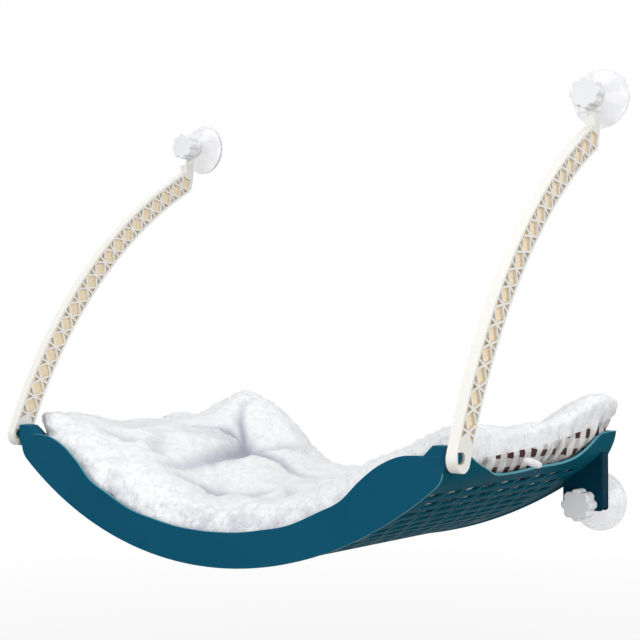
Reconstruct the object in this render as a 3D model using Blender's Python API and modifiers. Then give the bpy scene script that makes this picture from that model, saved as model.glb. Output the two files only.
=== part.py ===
"""A cat's window bed: a slotted trough tray that hangs on two swinging arms and four suction cups.

Metres. X runs across the bed, Y points from the room to the window, Z is up.
The glass is the plane Y = 0, and the lower cups' axes are at Z = 0.
"""
import math

import bmesh
import bpy
from mathutils import Matrix, Vector

# Where the pieces stand
PIN_REACH = 0.292           # from the glass to the arms' pivot pins
PIN_HEIGHT = 0.0615         # pins above the lower cups' axes
ARM_SPREAD = 0.270          # middle of the bed to the middle of an arm
LOWER_SPREAD = 0.261        # middle of the bed to a lower cup's axis
UPPER_HEIGHT = 0.402        # upper cups' axes above the lower ones
FIT = 0.0003                # clearance between pieces that touch
OVERRUN = 0.004             # how far a cutter reaches past what it cuts

# Tray
FRONT_RADIUS = 0.401        # outer radius of the trough at the front
REAR_RADIUS = 0.445         # and at the back, where the trough is wider
TROUGH_DROP = 0.1125        # pins down to the trough's lowest line
WALL = 0.0025
SIDE_ANGLE = 38.5           # degrees of trough before the sides turn up
SIDE_CORNER = 0.030         # radius where a side turns up
SIDE_STEPS = 5
SIDE_TOP = 0.010            # highest rim above the pins
RIM_DIP = 0.0317            # from the highest rim down to the dip between arm and corner
RIM_shares = ((-0.05, 0.03), (0.075, 0.04), (0.145, 0.47), (0.24, 0.79), (0.31, 0.97), (0.42, 1.0),
              (0.56, 0.91), (0.69, 0.88), (0.765, 0.755), (0.82, 0.47), (0.87, 0.17), (0.92, 0.025),
              (1.05, 0.0))  # (share of the tray's depth, share of the dip)
RIM_STEPS = 2
PANEL_PROUD = 0.0040        # front face of the panel before the pins
PANEL_THICK = 0.003
PANEL_LIP = 0.0015          # how far the panel stands out below the trough
PANEL_CORNER = 0.022
PANEL_TOP_MIDDLE = -0.081   # panel's top edge in the middle, from the pins' height
PANEL_TOP_END = 0.0005      # and at its ends
PANEL_TOP_shares = ((0.0, 0.0), (0.13, 0.018), (0.25, 0.075), (0.38, 0.163), (0.51, 0.337), (0.6, 0.475),
                    (0.675, 0.69), (0.75, 0.865), (0.83, 0.975), (0.9, 1.0), (1.0, 1.0))
PANEL_TOP_STEPS = 2         # points worked out for each share
REAR_GAP = 0.020            # back of the tray to the glass
REAR_TOP_MIDDLE = -0.079
SLOT_PITCH_ANGLE = 2.25     # degrees between rows of slots
SLOT_ROWS = 33
SLOT_WIDTH_share = 0.57     # slot's share of its row
SLOT_LENGTH = 0.0205
SLOT_PITCH = 0.027
SLOT_START = 0.00875        # from the trough's front edge to the first slot
SLOTS_PER_ROW = 9
EAR_WIDTH = 0.0185
EAR_RISE = 0.0095           # ear's top above the pin
EAR_GAP = 0.0025            # ear to arm
EAR_CHAMFER = 0.005
EAR_DEPTH = 0.0135
BRACKET_WIDTH = 0.041
BRACKET_DEPTH = 0.0152
BRACKET_WALL = 0.003
BRACKET_BELOW = 0.006       # bracket's lower edge under the stud's axis
BRACKET_CORNER = 0.003
BRACKET_STEPS = 6
BRACKET_REACH_share = 0.25  # share of the trough's bend that a bracket's top follows
CORNER_STEPS = 3
FORK_STEPS = 10

# Pivot pins
PIN_RADIUS = 0.0027
PIN_HEAD_RADIUS = 0.0043
PIN_HEAD = 0.0016
PIN_CHAMFER = 0.0008
PIN_DEPTH = 0.0145          # how far a pin reaches into its ear
PIN_SIDES = 20

# Arms
ARM_WIDTH = 0.0098
ARM_DEPTH = 0.0235
ARM_RADIUS = 0.5684         # curve of the arm's middle line
PIN_OFFSET = 0.0026         # pin in front of the arm's middle line
ARM_STEPS = 22
ARM_END_STEPS = 12
NECK_STEPS = 3
RECESS_FRONT = 0.0065       # the flat-sided recess round the pin, on both faces
RECESS_RADIUS = 0.005
RECESS_DEPTH = 0.0036
RECESS_STEPS = 10
FLANGE = 0.0025
WEB = 0.0024
RIB = 0.0021
TRUSS_PITCH = 0.0203
TRUSS_START = 0.0229        # pin to the first crossing
TRUSS_END_share = 0.8       # least share of a pitch from the last crossing to the neck
NECK_FRONT = 0.0346         # front of the arm's neck to the glass
NECK_WAIST = 0.0225         # upper cup's axis down to the waist
NECK_RISE = 0.0092          # from the arm's upper edge up to the waist
EYELET_RADIUS = 0.014
EYELET_INSET = 0.003        # eyelet towards the middle of the bed from the arm
EYELET_THICK = 0.0042
EYELET_SIDES = 20

# Suction cups, studs and knobs
CUP_RADIUS = 0.030
CUP_DEPTH = 0.022
CUP_EDGE = 0.0014
CUP_SHOULDER = 0.0150       # where the cone meets the neck, from the glass
CUP_NECK_RADIUS = 0.0095
CUP_SIDES = 20
STUD_RADIUS = 0.0040
STUD_HEAD_RADIUS = 0.0070
STUD_HEAD = 0.0030
STUD_SEAT = 0.0115          # from the glass to the stud's head
STUD_SIDES = 16
STUD_END_SHORT = 0.0045     # end of the stud from the knob's face
KNOB_RADIUS = 0.0155
KNOB_WAVE = 0.0016          # from crest to middle of the knob's scallops
KNOB_LOBES = 8
KNOB_STEPS = 4              # points on each scallop
KNOB_LENGTH = 0.0155
KNOB_CHAMFER = 0.0012
INSERT_RADIUS = 0.0062
INSERT_LENGTH = 0.0080
INSERT_SIDES = 6

# Cushion
PAD_MARGIN = 0.0012         # clear of the tray's sides
PAD_SEAT = 0.0004           # clear of the trough it rests in
PAD_RIM_RISE = 0.0048       # above the rim, where the cushion may spread over it
PAD_THICK = 0.075           # thickness in the middle of the back
PAD_FRONT_shares = ((-1.0, 0.66), (-0.7, 0.84), (0.0, 0.66), (0.7, 0.84), (1.0, 0.72))
PAD_REAR_shares = ((-1.0, 0.22), (-0.9, 0.26), (-0.76, 0.48), (-0.65, 1.06), (-0.54, 1.78), (-0.42, 1.78),
                   (-0.3, 1.34), (-0.15, 1.0), (0.0, 1.0), (0.5, 1.14), (0.7, 0.94), (0.85, 0.98), (1.0, 1.1))
PAD_SEAM_FRONT = 0.016      # seam above the trough at the front
PAD_SEAM_REAR = 0.028       # and at the right rear corner, which is pushed up
PAD_EAR_GAP = 0.0056        # clear of the ears at the front
PAD_REAR_HALF = 0.2895
PAD_EARS_share = 0.06       # share of the cushion's depth beside the ears
PAD_OPENING_shares = (0.08, 0.5)     # depth over which it widens behind them, and share of the widening
PAD_SIDE_share = 0.012      # how far the ends of the sides draw in
PAD_SIDE_ROUND = 8
PAD_BLEND = 1.5             # power by which the front's thickness turns into the back's
PAD_BACK = 0.004            # from the cushion's back edge to the tray's rear wall
PAD_ROUND = 16              # power that sets how sharply the edges turn down
PAD_COLUMNS = 28
PAD_ROWS = 12
PAD_TUFT_DEPTH = 0.020
PAD_TUFT_SIZE = 0.034
PAD_TUFT_shares = ((-0.38, 0.66), (-0.19, 0.30), (0.38, 0.66), (0.19, 0.30))

TRAY_FRONT = -PIN_REACH - PANEL_PROUD
TRAY_BACK = -REAR_GAP
SHELL_FRONT = TRAY_FRONT + PANEL_THICK / 2
SHELL_BACK = TRAY_BACK - PANEL_THICK / 2
SHELL_DEPTH = SHELL_BACK - SHELL_FRONT
EYELET_BACK = -CUP_DEPTH - FIT
EYELET_FRONT = EYELET_BACK - EYELET_THICK
BRACKET_BACK = -CUP_DEPTH - FIT
BRACKET_FRONT = BRACKET_BACK - BRACKET_DEPTH
BORE = PIN_RADIUS + FIT
STUD_BORE = STUD_RADIUS + FIT
EAR_OUTER = ARM_SPREAD - ARM_WIDTH / 2 - EAR_GAP
PIN_END = EAR_OUTER - PIN_DEPTH
PAD_FRONT_HALF = EAR_OUTER - EAR_WIDTH - EAR_CHAMFER - PAD_EAR_GAP


def new_collection(name):
    made = bpy.data.collections.new(name)
    bpy.context.scene.collection.children.link(made)
    return made


def new_material(name, colour, roughness, alpha=1.0):
    made = bpy.data.materials.new(name)
    made.use_nodes = True
    shader = made.node_tree.nodes["Principled BSDF"]
    shader.inputs["Base Color"].default_value = (*colour, 1.0)
    shader.inputs["Roughness"].default_value = roughness
    shader.inputs["Metallic"].default_value = 0.0
    shader.inputs["Alpha"].default_value = alpha
    return made


def new_object(name, bm, where, material=None):
    """Turn a bmesh into an object, in the parts or the cutters."""
    mesh = bpy.data.meshes.new(name)
    bmesh.ops.recalc_face_normals(bm, faces=bm.faces)
    bm.to_mesh(mesh)
    bm.free()
    made = bpy.data.objects.new(name, mesh)
    where.objects.link(made)
    if material:
        mesh.materials.append(material)
    else:
        made.hide_render = True
        made.display_type = "WIRE"
    return made


def plate(outline, depth):
    """A flat outline of (a, b) points, lifted by depth: a bmesh in X, Y and +Z."""
    bm = bmesh.new()
    corners = [bm.verts.new((a, b, 0)) for a, b in outline]
    face = bm.faces.new(corners)
    lifted = bmesh.ops.extrude_face_region(bm, geom=[face])["geom"]
    tops = [item for item in lifted if isinstance(item, bmesh.types.BMVert)]
    bmesh.ops.translate(bm, vec=(0, 0, depth), verts=tops)
    return bm


# Turns a plate's a, b and lift into world axes
ACROSS = Matrix(((1, 0, 0, 0), (0, 0, 1, 0), (0, 1, 0, 0), (0, 0, 0, 1)))      # X, Z, lifted along Y
SIDEWAYS = Matrix(((0, 0, 1, 0), (1, 0, 0, 0), (0, 1, 0, 0), (0, 0, 0, 1)))    # Y, Z, lifted along X


def placed_plate(outline, depth, turn, start):
    bm = plate(outline, depth)
    bmesh.ops.transform(bm, matrix=Matrix.Translation(start) @ turn, verts=bm.verts)
    return bm


def rod(radius, start, end, sides, turn=0.0):
    """A round bar between two points."""
    start, end = Vector(start), Vector(end)
    bm = bmesh.new()
    bmesh.ops.create_cone(bm, cap_ends=True, segments=sides, radius1=radius, radius2=radius,
                          depth=(end - start).length)
    aim = (end - start).to_track_quat("Z", "Y").to_matrix().to_4x4()
    bmesh.ops.transform(bm, matrix=Matrix.Translation((start + end) / 2) @ aim @ Matrix.Rotation(turn, 4, "Z"),
                        verts=bm.verts)
    return bm


def merged(*meshes):
    """Several bmeshes that stay apart, in one."""
    whole = bmesh.new()
    for bm in meshes:
        scratch = bpy.data.meshes.new("scratch")
        bm.to_mesh(scratch)
        bm.free()
        whole.from_mesh(scratch)
        bpy.data.meshes.remove(scratch)
    return whole


def boolean(target, tool, operation):
    modifier = target.modifiers.new(tool.name, "BOOLEAN")
    modifier.object = tool
    modifier.operation = operation
    modifier.solver = "EXACT"


def smooth_curve(points, steps):
    """Points on a smooth curve through the given ones."""
    ends = [points[0], *points, points[-1]]
    curve = []
    for before, start, end, after in zip(ends, ends[1:], ends[2:], ends[3:]):
        for step in range(steps):
            t = step / steps
            curve.append(tuple(
                (2 * b + (c - a) * t + (2 * a - 5 * b + 4 * c - d) * t ** 2
                 + (3 * b - a - 3 * c + d) * t ** 3) / 2
                for a, b, c, d in zip(before, start, end, after)))
    return [*curve, tuple(points[-1])]


def arc(centre, radius, start, end, steps):
    """Points on an arc, by angles in degrees."""
    turns = [math.radians(start + (end - start) * step / steps) for step in range(steps + 1)]
    return [(centre[0] + radius * math.cos(turn), centre[1] + radius * math.sin(turn)) for turn in turns]


def section_point(angle, radius, corner):
    """The trough's section at an angle from straight down: (X, Z), with its lowest point at zero."""
    turn = math.radians(angle)
    if abs(angle) <= SIDE_ANGLE:
        return radius * math.sin(turn), radius * (1 - math.cos(turn))
    side = math.radians(math.copysign(SIDE_ANGLE, angle))
    middle = (radius - corner) * math.sin(side), radius - (radius - corner) * math.cos(side)
    return middle[0] + corner * math.sin(turn), middle[1] - corner * math.cos(turn)


def radius_at(y):
    return FRONT_RADIUS + (REAR_RADIUS - FRONT_RADIUS) * (y - SHELL_FRONT) / SHELL_DEPTH


def trough_bottom():
    return PIN_HEIGHT - TROUGH_DROP


def inside_at(y, z):
    """Half the trough's inside width at a height."""
    radius = radius_at(y) - WALL
    corner = SIDE_CORNER - WALL
    height = z - trough_bottom() - WALL
    side = math.radians(SIDE_ANGLE)
    if height <= radius * (1 - math.cos(side)):
        return math.sqrt(radius ** 2 - (radius - max(height, 0)) ** 2)
    below = max(0.0, radius - (radius - corner) * math.cos(side) - height)
    return (radius - corner) * math.sin(side) + math.sqrt(corner ** 2 - below ** 2)


def rim_curve():
    top = PIN_HEIGHT + SIDE_TOP
    points = [(SHELL_FRONT + SHELL_DEPTH * along, top - RIM_DIP * down) for along, down in RIM_shares]
    return smooth_curve(points, RIM_STEPS)


def rim_at(y):
    """Height of the tray's side rim."""
    rim = rim_curve()
    for (y0, z0), (y1, z1) in zip(rim, rim[1:]):
        if y0 <= y <= y1:
            return z0 + (z1 - z0) * (y - y0) / (y1 - y0)
    return rim[-1][1]


def slotted_shell():
    """The trough as an open surface: a flat grid whose slots are left out, then bent to shape."""
    half_slot = SLOT_PITCH_ANGLE * SLOT_WIDTH_share / 2
    angles = []
    for row in range(SLOT_ROWS):
        middle = (row - (SLOT_ROWS - 1) / 2) * SLOT_PITCH_ANGLE
        angles += [middle - SLOT_PITCH_ANGLE / 2, middle - half_slot, middle + half_slot]
    angles.append(-angles[0])
    slot_columns = {3 * row + 1: row % 2 for row in range(SLOT_ROWS)}
    sides = [SIDE_ANGLE + (90 - SIDE_ANGLE) * step / SIDE_STEPS for step in range(SIDE_STEPS + 1)]
    shift = len(sides) + 1
    angles = [None, *[-side for side in reversed(sides)], *angles, *sides, None]

    starts = {0: [SLOT_START + SLOT_PITCH * slot for slot in range(SLOTS_PER_ROW)]}
    starts[1] = [start + SLOT_PITCH / 2 for start in starts[0][:-1]]
    lines = sorted({0.0, SHELL_DEPTH, *[place for row in starts.values() for start in row
                                        for place in (start, start + SLOT_LENGTH)]})

    bm = bmesh.new()
    bmesh.ops.create_grid(bm, x_segments=len(angles) - 1, y_segments=len(lines) - 1, size=1)
    columns, rows = len(angles) - 1, len(lines) - 1

    def cell(co):
        return (co.x + 1) / 2 * columns, (co.y + 1) / 2 * rows

    doomed = []
    for face in bm.faces:
        column, row = cell(face.calc_center_median())
        kind = slot_columns.get(math.floor(column) - shift)
        if kind is None:
            continue
        place = (lines[math.floor(row)] + lines[math.floor(row) + 1]) / 2
        if any(start < place < start + SLOT_LENGTH for start in starts[kind]):
            doomed.append(face)
    bmesh.ops.delete(bm, geom=doomed, context="FACES")
    across = [edge for edge in bm.edges if len(edge.link_faces) == 2
              and round(cell(edge.verts[0].co)[1]) == round(cell(edge.verts[1].co)[1])]
    bmesh.ops.dissolve_edges(bm, edges=across, use_verts=True)

    for vert in bm.verts:
        column, row = (round(place) for place in cell(vert.co))
        depth = lines[row]
        radius = radius_at(SHELL_FRONT + depth)
        angle = angles[column]
        if angle is None:
            x = section_point(math.copysign(90, column - columns / 2), radius, SIDE_CORNER)[0]
            z = TROUGH_DROP + SIDE_TOP
        else:
            x, z = section_point(angle, radius, SIDE_CORNER)
        vert.co = (x, SHELL_FRONT + depth, trough_bottom() + z)
    return bm


def panel_outline(radius, top_middle, top_end):
    """A crescent end wall: (X, Z) points, counter-clockwise from the left end's top."""
    rim = radius + PANEL_LIP
    middle_height = trough_bottom() - PANEL_LIP
    angles = [-SIDE_ANGLE + SIDE_ANGLE * step / SLOT_ROWS * 2 for step in range(SLOT_ROWS + 1)]
    sides = [SIDE_ANGLE + (90 - SIDE_ANGLE) * step / SIDE_STEPS for step in range(1, SIDE_STEPS + 1)]
    turns = [*[-side for side in reversed(sides)], *angles, *sides]
    lower = [section_point(turn, rim, PANEL_CORNER) for turn in turns]
    lower = [(x, middle_height + z) for x, z in lower]
    half = lower[-1][0]
    rise = top_end - top_middle
    top = [(half * across, PIN_HEIGHT + top_middle + rise * up) for across, up in PANEL_TOP_shares]
    right = smooth_curve(top, PANEL_TOP_STEPS)
    left = [(-x, z) for x, z in right[1:]]
    return [*lower, *reversed(right), *left]


def bracket_outline(inset, drop, radius):
    """A lower bracket seen from the front: its top follows the trough's underside."""
    half = BRACKET_WIDTH / 2 - inset
    inner, outer = LOWER_SPREAD - half, LOWER_SPREAD + half
    bottom = -BRACKET_BELOW
    angles = [SIDE_ANGLE * (1 - BRACKET_REACH_share * step / BRACKET_STEPS)
              for step in range(BRACKET_STEPS, -1, -1)]
    angles += [SIDE_ANGLE + (90 - SIDE_ANGLE) * step / SIDE_STEPS for step in range(1, SIDE_STEPS)]
    top = [section_point(angle, radius, SIDE_CORNER) for angle in angles]
    top = [(x, trough_bottom() + z - drop) for x, z in top]

    def height(x):
        for (x0, z0), (x1, z1) in zip(top, top[1:]):
            if x0 <= x <= x1:
                return z0 + (z1 - z0) * (x - x0) / (x1 - x0)
        return top[0][1] if x < top[0][0] else top[-1][1]

    between = [point for point in top if inner < point[0] < outer]
    return inner, outer, bottom, [(outer, height(outer)), *reversed(between), (inner, height(inner))]


def bracket(side):
    """One lower bracket, and its pocket and open slot as cutters."""
    radius = radius_at((BRACKET_FRONT + BRACKET_BACK) / 2)
    inner, outer, bottom, top = bracket_outline(0, -WALL / 2, radius)
    corner = BRACKET_CORNER
    left = arc((inner + corner, bottom + corner), corner, 180, 270, CORNER_STEPS)
    right = arc((outer - corner, bottom + corner), corner, 270, 360, CORNER_STEPS)
    solid = placed_plate([*left, *right, *top], BRACKET_DEPTH, ACROSS, (0, BRACKET_FRONT, 0))
    inner, outer, bottom, top = bracket_outline(BRACKET_WALL, BRACKET_WALL, radius)
    pocket = placed_plate([(inner, bottom - OVERRUN), (outer, bottom - OVERRUN), *top],
                          BRACKET_DEPTH - 2 * BRACKET_WALL, ACROSS, (0, BRACKET_FRONT + BRACKET_WALL, 0))
    round_top = arc((LOWER_SPREAD, 0), STUD_BORE, 0, 180, FORK_STEPS)
    fork = [(LOWER_SPREAD - STUD_BORE, bottom - OVERRUN), (LOWER_SPREAD + STUD_BORE, bottom - OVERRUN), *round_top]
    slot = placed_plate(fork, BRACKET_DEPTH + 2 * OVERRUN, ACROSS, (0, BRACKET_FRONT - OVERRUN, 0))
    for bm in (solid, pocket, slot):
        bmesh.ops.transform(bm, matrix=Matrix.Diagonal((side, 1, 1, 1)), verts=bm.verts)
    return solid, pocket, slot


def ear(side):
    """The lug behind each end of the panel that carries a pivot pin."""
    outer = EAR_OUTER
    inner = outer - EAR_WIDTH
    top = PIN_HEIGHT + EAR_RISE
    front = TRAY_FRONT + FIT
    low = PIN_HEIGHT - SIDE_CORNER / 2
    outline = [(inner - EAR_CHAMFER, low), (outer, low), (outer, top), (inner + EAR_CHAMFER, top),
               (inner - EAR_CHAMFER, top - 2 * EAR_CHAMFER)]
    bm = placed_plate(outline, EAR_DEPTH, ACROSS, (0, front, 0))
    bmesh.ops.transform(bm, matrix=Matrix.Diagonal((side, 1, 1, 1)), verts=bm.verts)
    return bm


def make_tray(parts, cutters, material):
    tray = new_object("tray", slotted_shell(), parts, material)
    tray.data.update()
    if tray.data.polygons[len(tray.data.polygons) // 2].normal.z > 0:
        tray.data.flip_normals()
    wall = tray.modifiers.new("wall", "SOLIDIFY")
    wall.thickness = WALL
    wall.offset = -1
    wall.use_even_offset = True

    rim = rim_curve()
    above = PIN_HEIGHT + SIDE_TOP + OVERRUN
    reach = REAR_RADIUS
    outline = [*rim, (rim[-1][0], above), (rim[0][0], above)]
    rim_cutter = placed_plate(outline, 2 * reach, SIDEWAYS, (-reach, 0, 0))
    boolean(tray, new_object("rim_cutter", rim_cutter, cutters), "DIFFERENCE")

    front = placed_plate(panel_outline(FRONT_RADIUS, PANEL_TOP_MIDDLE, PANEL_TOP_END), PANEL_THICK, ACROSS,
                         (0, TRAY_FRONT, 0))
    boolean(tray, new_object("front_panel_form", front, cutters), "UNION")
    rear = placed_plate(panel_outline(REAR_RADIUS - PANEL_LIP, REAR_TOP_MIDDLE, SIDE_TOP), PANEL_THICK, ACROSS,
                        (0, TRAY_BACK - PANEL_THICK, 0))
    boolean(tray, new_object("rear_wall_form", rear, cutters), "UNION")
    brackets = [bracket(side) for side in (-1, 1)]
    lugs = merged(*[solid for solid, _, _ in brackets], ear(-1), ear(1))
    boolean(tray, new_object("lug_forms", lugs, cutters), "UNION")
    bores = [rod(BORE, (side * (PIN_END - FIT), -PIN_REACH, PIN_HEIGHT),
                 (side * ARM_SPREAD, -PIN_REACH, PIN_HEIGHT), PIN_SIDES) for side in (-1, 1)]
    pockets = merged(*[pocket for _, pocket, _ in brackets], *bores)
    boolean(tray, new_object("pocket_cutters", pockets, cutters), "DIFFERENCE")
    slots = merged(*[slot for _, _, slot in brackets])
    boolean(tray, new_object("fork_cutters", slots, cutters), "DIFFERENCE")


def turned(name, profile, sides, parts, material, place, turn):
    """A turned piece: (radius, distance) points spun about Z by a Screw, then placed."""
    bm = bmesh.new()
    verts = [bm.verts.new((radius, 0, along)) for radius, along in profile]
    for start, end in zip(verts, verts[1:]):
        bm.edges.new((start, end))
    made = new_object(name, bm, parts, material)
    made.location = place
    made.rotation_euler = turn
    screw = made.modifiers.new("turn", "SCREW")
    screw.steps = sides
    screw.render_steps = sides
    screw.use_merge_vertices = True
    screw.merge_threshold = 0.00001
    return made


TO_ROOM = (math.radians(90), 0, 0)      # a turned piece's +Z points to the room, -Y


def make_pin(side, parts, material):
    """A push-in pivot pin: its head in the arm's recess, its end in the ear."""
    shank = ARM_SPREAD + ARM_WIDTH / 2 - RECESS_DEPTH + FIT - PIN_END
    round_edge = PIN_HEAD_RADIUS - PIN_CHAMFER
    profile = [(0, shank + PIN_HEAD), (round_edge, shank + PIN_HEAD),
               (PIN_HEAD_RADIUS, shank + PIN_HEAD - PIN_CHAMFER), (PIN_HEAD_RADIUS, shank),
               (PIN_RADIUS, shank), (PIN_RADIUS, PIN_CHAMFER),
               (PIN_RADIUS - PIN_CHAMFER, 0), (0, 0)]
    name = "pivot_pin_right" if side > 0 else "pivot_pin_left"
    turned(name, profile, PIN_SIDES, parts, material, (side * PIN_END, -PIN_REACH, PIN_HEIGHT),
           (0, side * math.radians(90), 0))


def arm_centre():
    """Centre of the arm's curve, (Y, Z) from the pin, so that its upper edge ends at the neck."""
    end = Vector((PIN_REACH - NECK_FRONT, UPPER_HEIGHT - PIN_HEIGHT - NECK_WAIST - NECK_RISE))
    to_pin, to_end = ARM_RADIUS + PIN_OFFSET, ARM_RADIUS + ARM_DEPTH / 2
    along = (to_pin ** 2 - to_end ** 2 + end.length_squared) / (2 * end.length)
    aside = math.sqrt(to_pin ** 2 - along ** 2)
    return end.normalized() * along + Vector((end.y, -end.x)).normalized() * aside


def arm_start():
    """The curve's angle at the pin, in radians from straight up."""
    centre = arm_centre()
    return math.atan2(centre.x, -centre.y)


def arm_point(along, out):
    """A point of the arm from its pin: how far along the curve, how far out to its upper edge."""
    centre = arm_centre()
    angle = arm_start() - along / ARM_RADIUS
    reach = ARM_RADIUS + out
    return centre.x - reach * math.sin(angle), centre.y + reach * math.cos(angle)


def along_to(y, out):
    """How far along the arm its edge reaches a distance Y from the pin."""
    return ARM_RADIUS * (arm_start() - math.asin((arm_centre().x - y) / (ARM_RADIUS + out)))


def arm_outline():
    half = ARM_DEPTH / 2
    neck_front = PIN_REACH - NECK_FRONT
    neck_back = PIN_REACH + EYELET_BACK
    waist = UPPER_HEIGHT - PIN_HEIGHT - NECK_WAIST
    upper_end = along_to(neck_front, half)
    lower_end = along_to(neck_back - half, -half)
    upper = [arm_point(upper_end * step / ARM_STEPS, half) for step in range(ARM_STEPS + 1)]
    lower = [arm_point(lower_end * step / ARM_STEPS, -half) for step in range(ARM_STEPS + 1)]
    bend = lower[-1][1]
    under = [lower[-1], (neck_back - half / 3, bend + half / 2), (neck_back, bend + ARM_DEPTH)]
    under = smooth_curve(under, NECK_STEPS)
    start = math.degrees(arm_start())
    end = arc(arm_point(0, 0), half, start + 90, start + 270, ARM_END_STEPS)
    step_back = neck_back - EYELET_THICK
    return [*upper, (neck_front, waist), (step_back, waist), (step_back, waist + OVERRUN),
            (neck_back, waist + OVERRUN), *reversed(under[1:]), *reversed(lower[1:]), *reversed(end[1:-1])]


def shrunk(points, rib):
    """A cell's outline, a triangle or a rhombus, drawn in by half a rib on every side."""
    corners = [Vector(point) for point in points]
    weights = [1.0] * len(corners)
    if len(corners) == 3:
        weights = [(corners[index - 1] - corners[index - 2]).length for index in range(3)]
    middle = sum((corner * weight for corner, weight in zip(corners, weights)), Vector((0, 0))) / sum(weights)
    pairs = list(zip(corners, corners[1:] + corners[:1]))
    area = abs(sum(a.x * b.y - b.x * a.y for a, b in pairs)) / 2
    inner = 2 * area / sum((b - a).length for a, b in pairs)
    return [tuple(middle + (corner - middle) * (inner - rib / 2) / inner) for corner in corners]


def truss_cells():
    """Outlines of the arm's pockets, as (along, out) points."""
    reach = ARM_DEPTH / 2 - FLANGE + RIB / 2
    half = TRUSS_PITCH / 2
    length = along_to(PIN_REACH - NECK_FRONT, ARM_DEPTH / 2) - TRUSS_START
    nodes = int(length / TRUSS_PITCH - TRUSS_END_share) + 1
    cells = []
    for node in range(nodes):
        middle = TRUSS_START + TRUSS_PITCH * node
        for side in (-1, 1):
            for end in (-1, 1):
                cells.append([(middle, 0), (middle, side * reach), (middle + end * half, side * reach)])
        cells.append([(middle, 0), (middle + half, reach), (middle + 2 * half, 0), (middle + half, -reach)])
    return [shrunk(cell, RIB) for cell in cells]


def make_arms(parts, cutters, material):
    bm = placed_plate(arm_outline(), ARM_WIDTH, SIDEWAYS, (-ARM_WIDTH / 2, 0, 0))
    arm = new_object("arm_right", bm, parts, material)
    arm.location = (ARM_SPREAD, -PIN_REACH, PIN_HEIGHT)

    def beside(name, bm, operation):
        made = new_object(name, bm, cutters)
        made.location = arm.location
        boolean(arm, made, operation)

    eye = UPPER_HEIGHT - PIN_HEIGHT
    front, back = PIN_REACH + EYELET_FRONT, PIN_REACH + EYELET_BACK
    narrow = ARM_WIDTH / 2
    lower = math.degrees(math.asin(narrow / EYELET_RADIUS)) - 90
    outline = [*arc((-EYELET_INSET, eye), EYELET_RADIUS, lower, 180 - lower, EYELET_SIDES),
               (-narrow, eye - NECK_WAIST), (narrow, eye - NECK_WAIST)]
    beside("eyelet_form", placed_plate(outline, EYELET_THICK, ACROSS, (0, front, 0)), "UNION")

    depth = (ARM_WIDTH - WEB) / 2
    pockets = []
    for cell in truss_cells():
        outline = [arm_point(*point) for point in cell]
        pockets.append(placed_plate(outline, depth + OVERRUN, SIDEWAYS, (WEB / 2, 0, 0)))
        pockets.append(placed_plate(outline, depth + OVERRUN, SIDEWAYS, (-WEB / 2 - depth - OVERRUN, 0, 0)))
    recess = [(-RECESS_FRONT, -RECESS_RADIUS), *arc((0, 0), RECESS_RADIUS, -90, 90, RECESS_STEPS),
              (-RECESS_FRONT, RECESS_RADIUS)]
    for start in (ARM_WIDTH / 2 - RECESS_DEPTH, -ARM_WIDTH / 2 - OVERRUN):
        pockets.append(placed_plate(recess, RECESS_DEPTH + OVERRUN, SIDEWAYS, (start, 0, 0)))
    beside("truss_cutters", merged(*pockets), "DIFFERENCE")
    pin_bore = rod(BORE, (-ARM_WIDTH, 0, 0), (ARM_WIDTH, 0, 0), PIN_SIDES)
    stud_bore = rod(STUD_BORE, (-EYELET_INSET, front - OVERRUN, eye), (-EYELET_INSET, back + OVERRUN, eye),
                    STUD_SIDES)
    beside("arm_bore_cutters", merged(pin_bore, stud_bore), "DIFFERENCE")

    bpy.context.view_layer.update()
    mesh = bpy.data.meshes.new_from_object(arm.evaluated_get(bpy.context.evaluated_depsgraph_get()))
    mesh.transform(Matrix.Diagonal((-1, 1, 1, 1)))
    mesh.flip_normals()
    left = bpy.data.objects.new("arm_left", mesh)
    left.location = (-ARM_SPREAD, -PIN_REACH, PIN_HEIGHT)
    parts.objects.link(left)


def make_cup(name, place, parts, material):
    """A suction cup pressed flat on the glass, with the stud's seat in its neck."""
    seat = STUD_HEAD_RADIUS + FIT
    profile = [(0, STUD_SEAT - FIT), (seat, STUD_SEAT - FIT), (seat, STUD_SEAT + STUD_HEAD + FIT),
               (STUD_BORE, STUD_SEAT + STUD_HEAD + FIT), (STUD_BORE, CUP_DEPTH), (CUP_NECK_RADIUS, CUP_DEPTH),
               (CUP_NECK_RADIUS, CUP_SHOULDER), ((CUP_RADIUS + CUP_NECK_RADIUS) / 2, CUP_SHOULDER / 2),
               (CUP_RADIUS, CUP_EDGE), (CUP_RADIUS, 0), (0, 0)]
    turned(name, profile, CUP_SIDES, parts, material, place, TO_ROOM)


def make_stud(name, place, end, parts, material):
    profile = [(0, end), (STUD_RADIUS, end), (STUD_RADIUS, STUD_SEAT + STUD_HEAD),
               (STUD_HEAD_RADIUS, STUD_SEAT + STUD_HEAD), (STUD_HEAD_RADIUS, STUD_SEAT), (0, STUD_SEAT)]
    turned(name, profile, STUD_SIDES, parts, material, place, TO_ROOM)


def knob_outline():
    count = KNOB_LOBES * KNOB_STEPS
    points = []
    for step in range(count):
        turn = 2 * math.pi * step / count
        radius = KNOB_RADIUS - KNOB_WAVE * (1 - math.cos(KNOB_LOBES * turn))
        points.append((radius * math.sin(turn), radius * math.cos(turn)))
    return points


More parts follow.
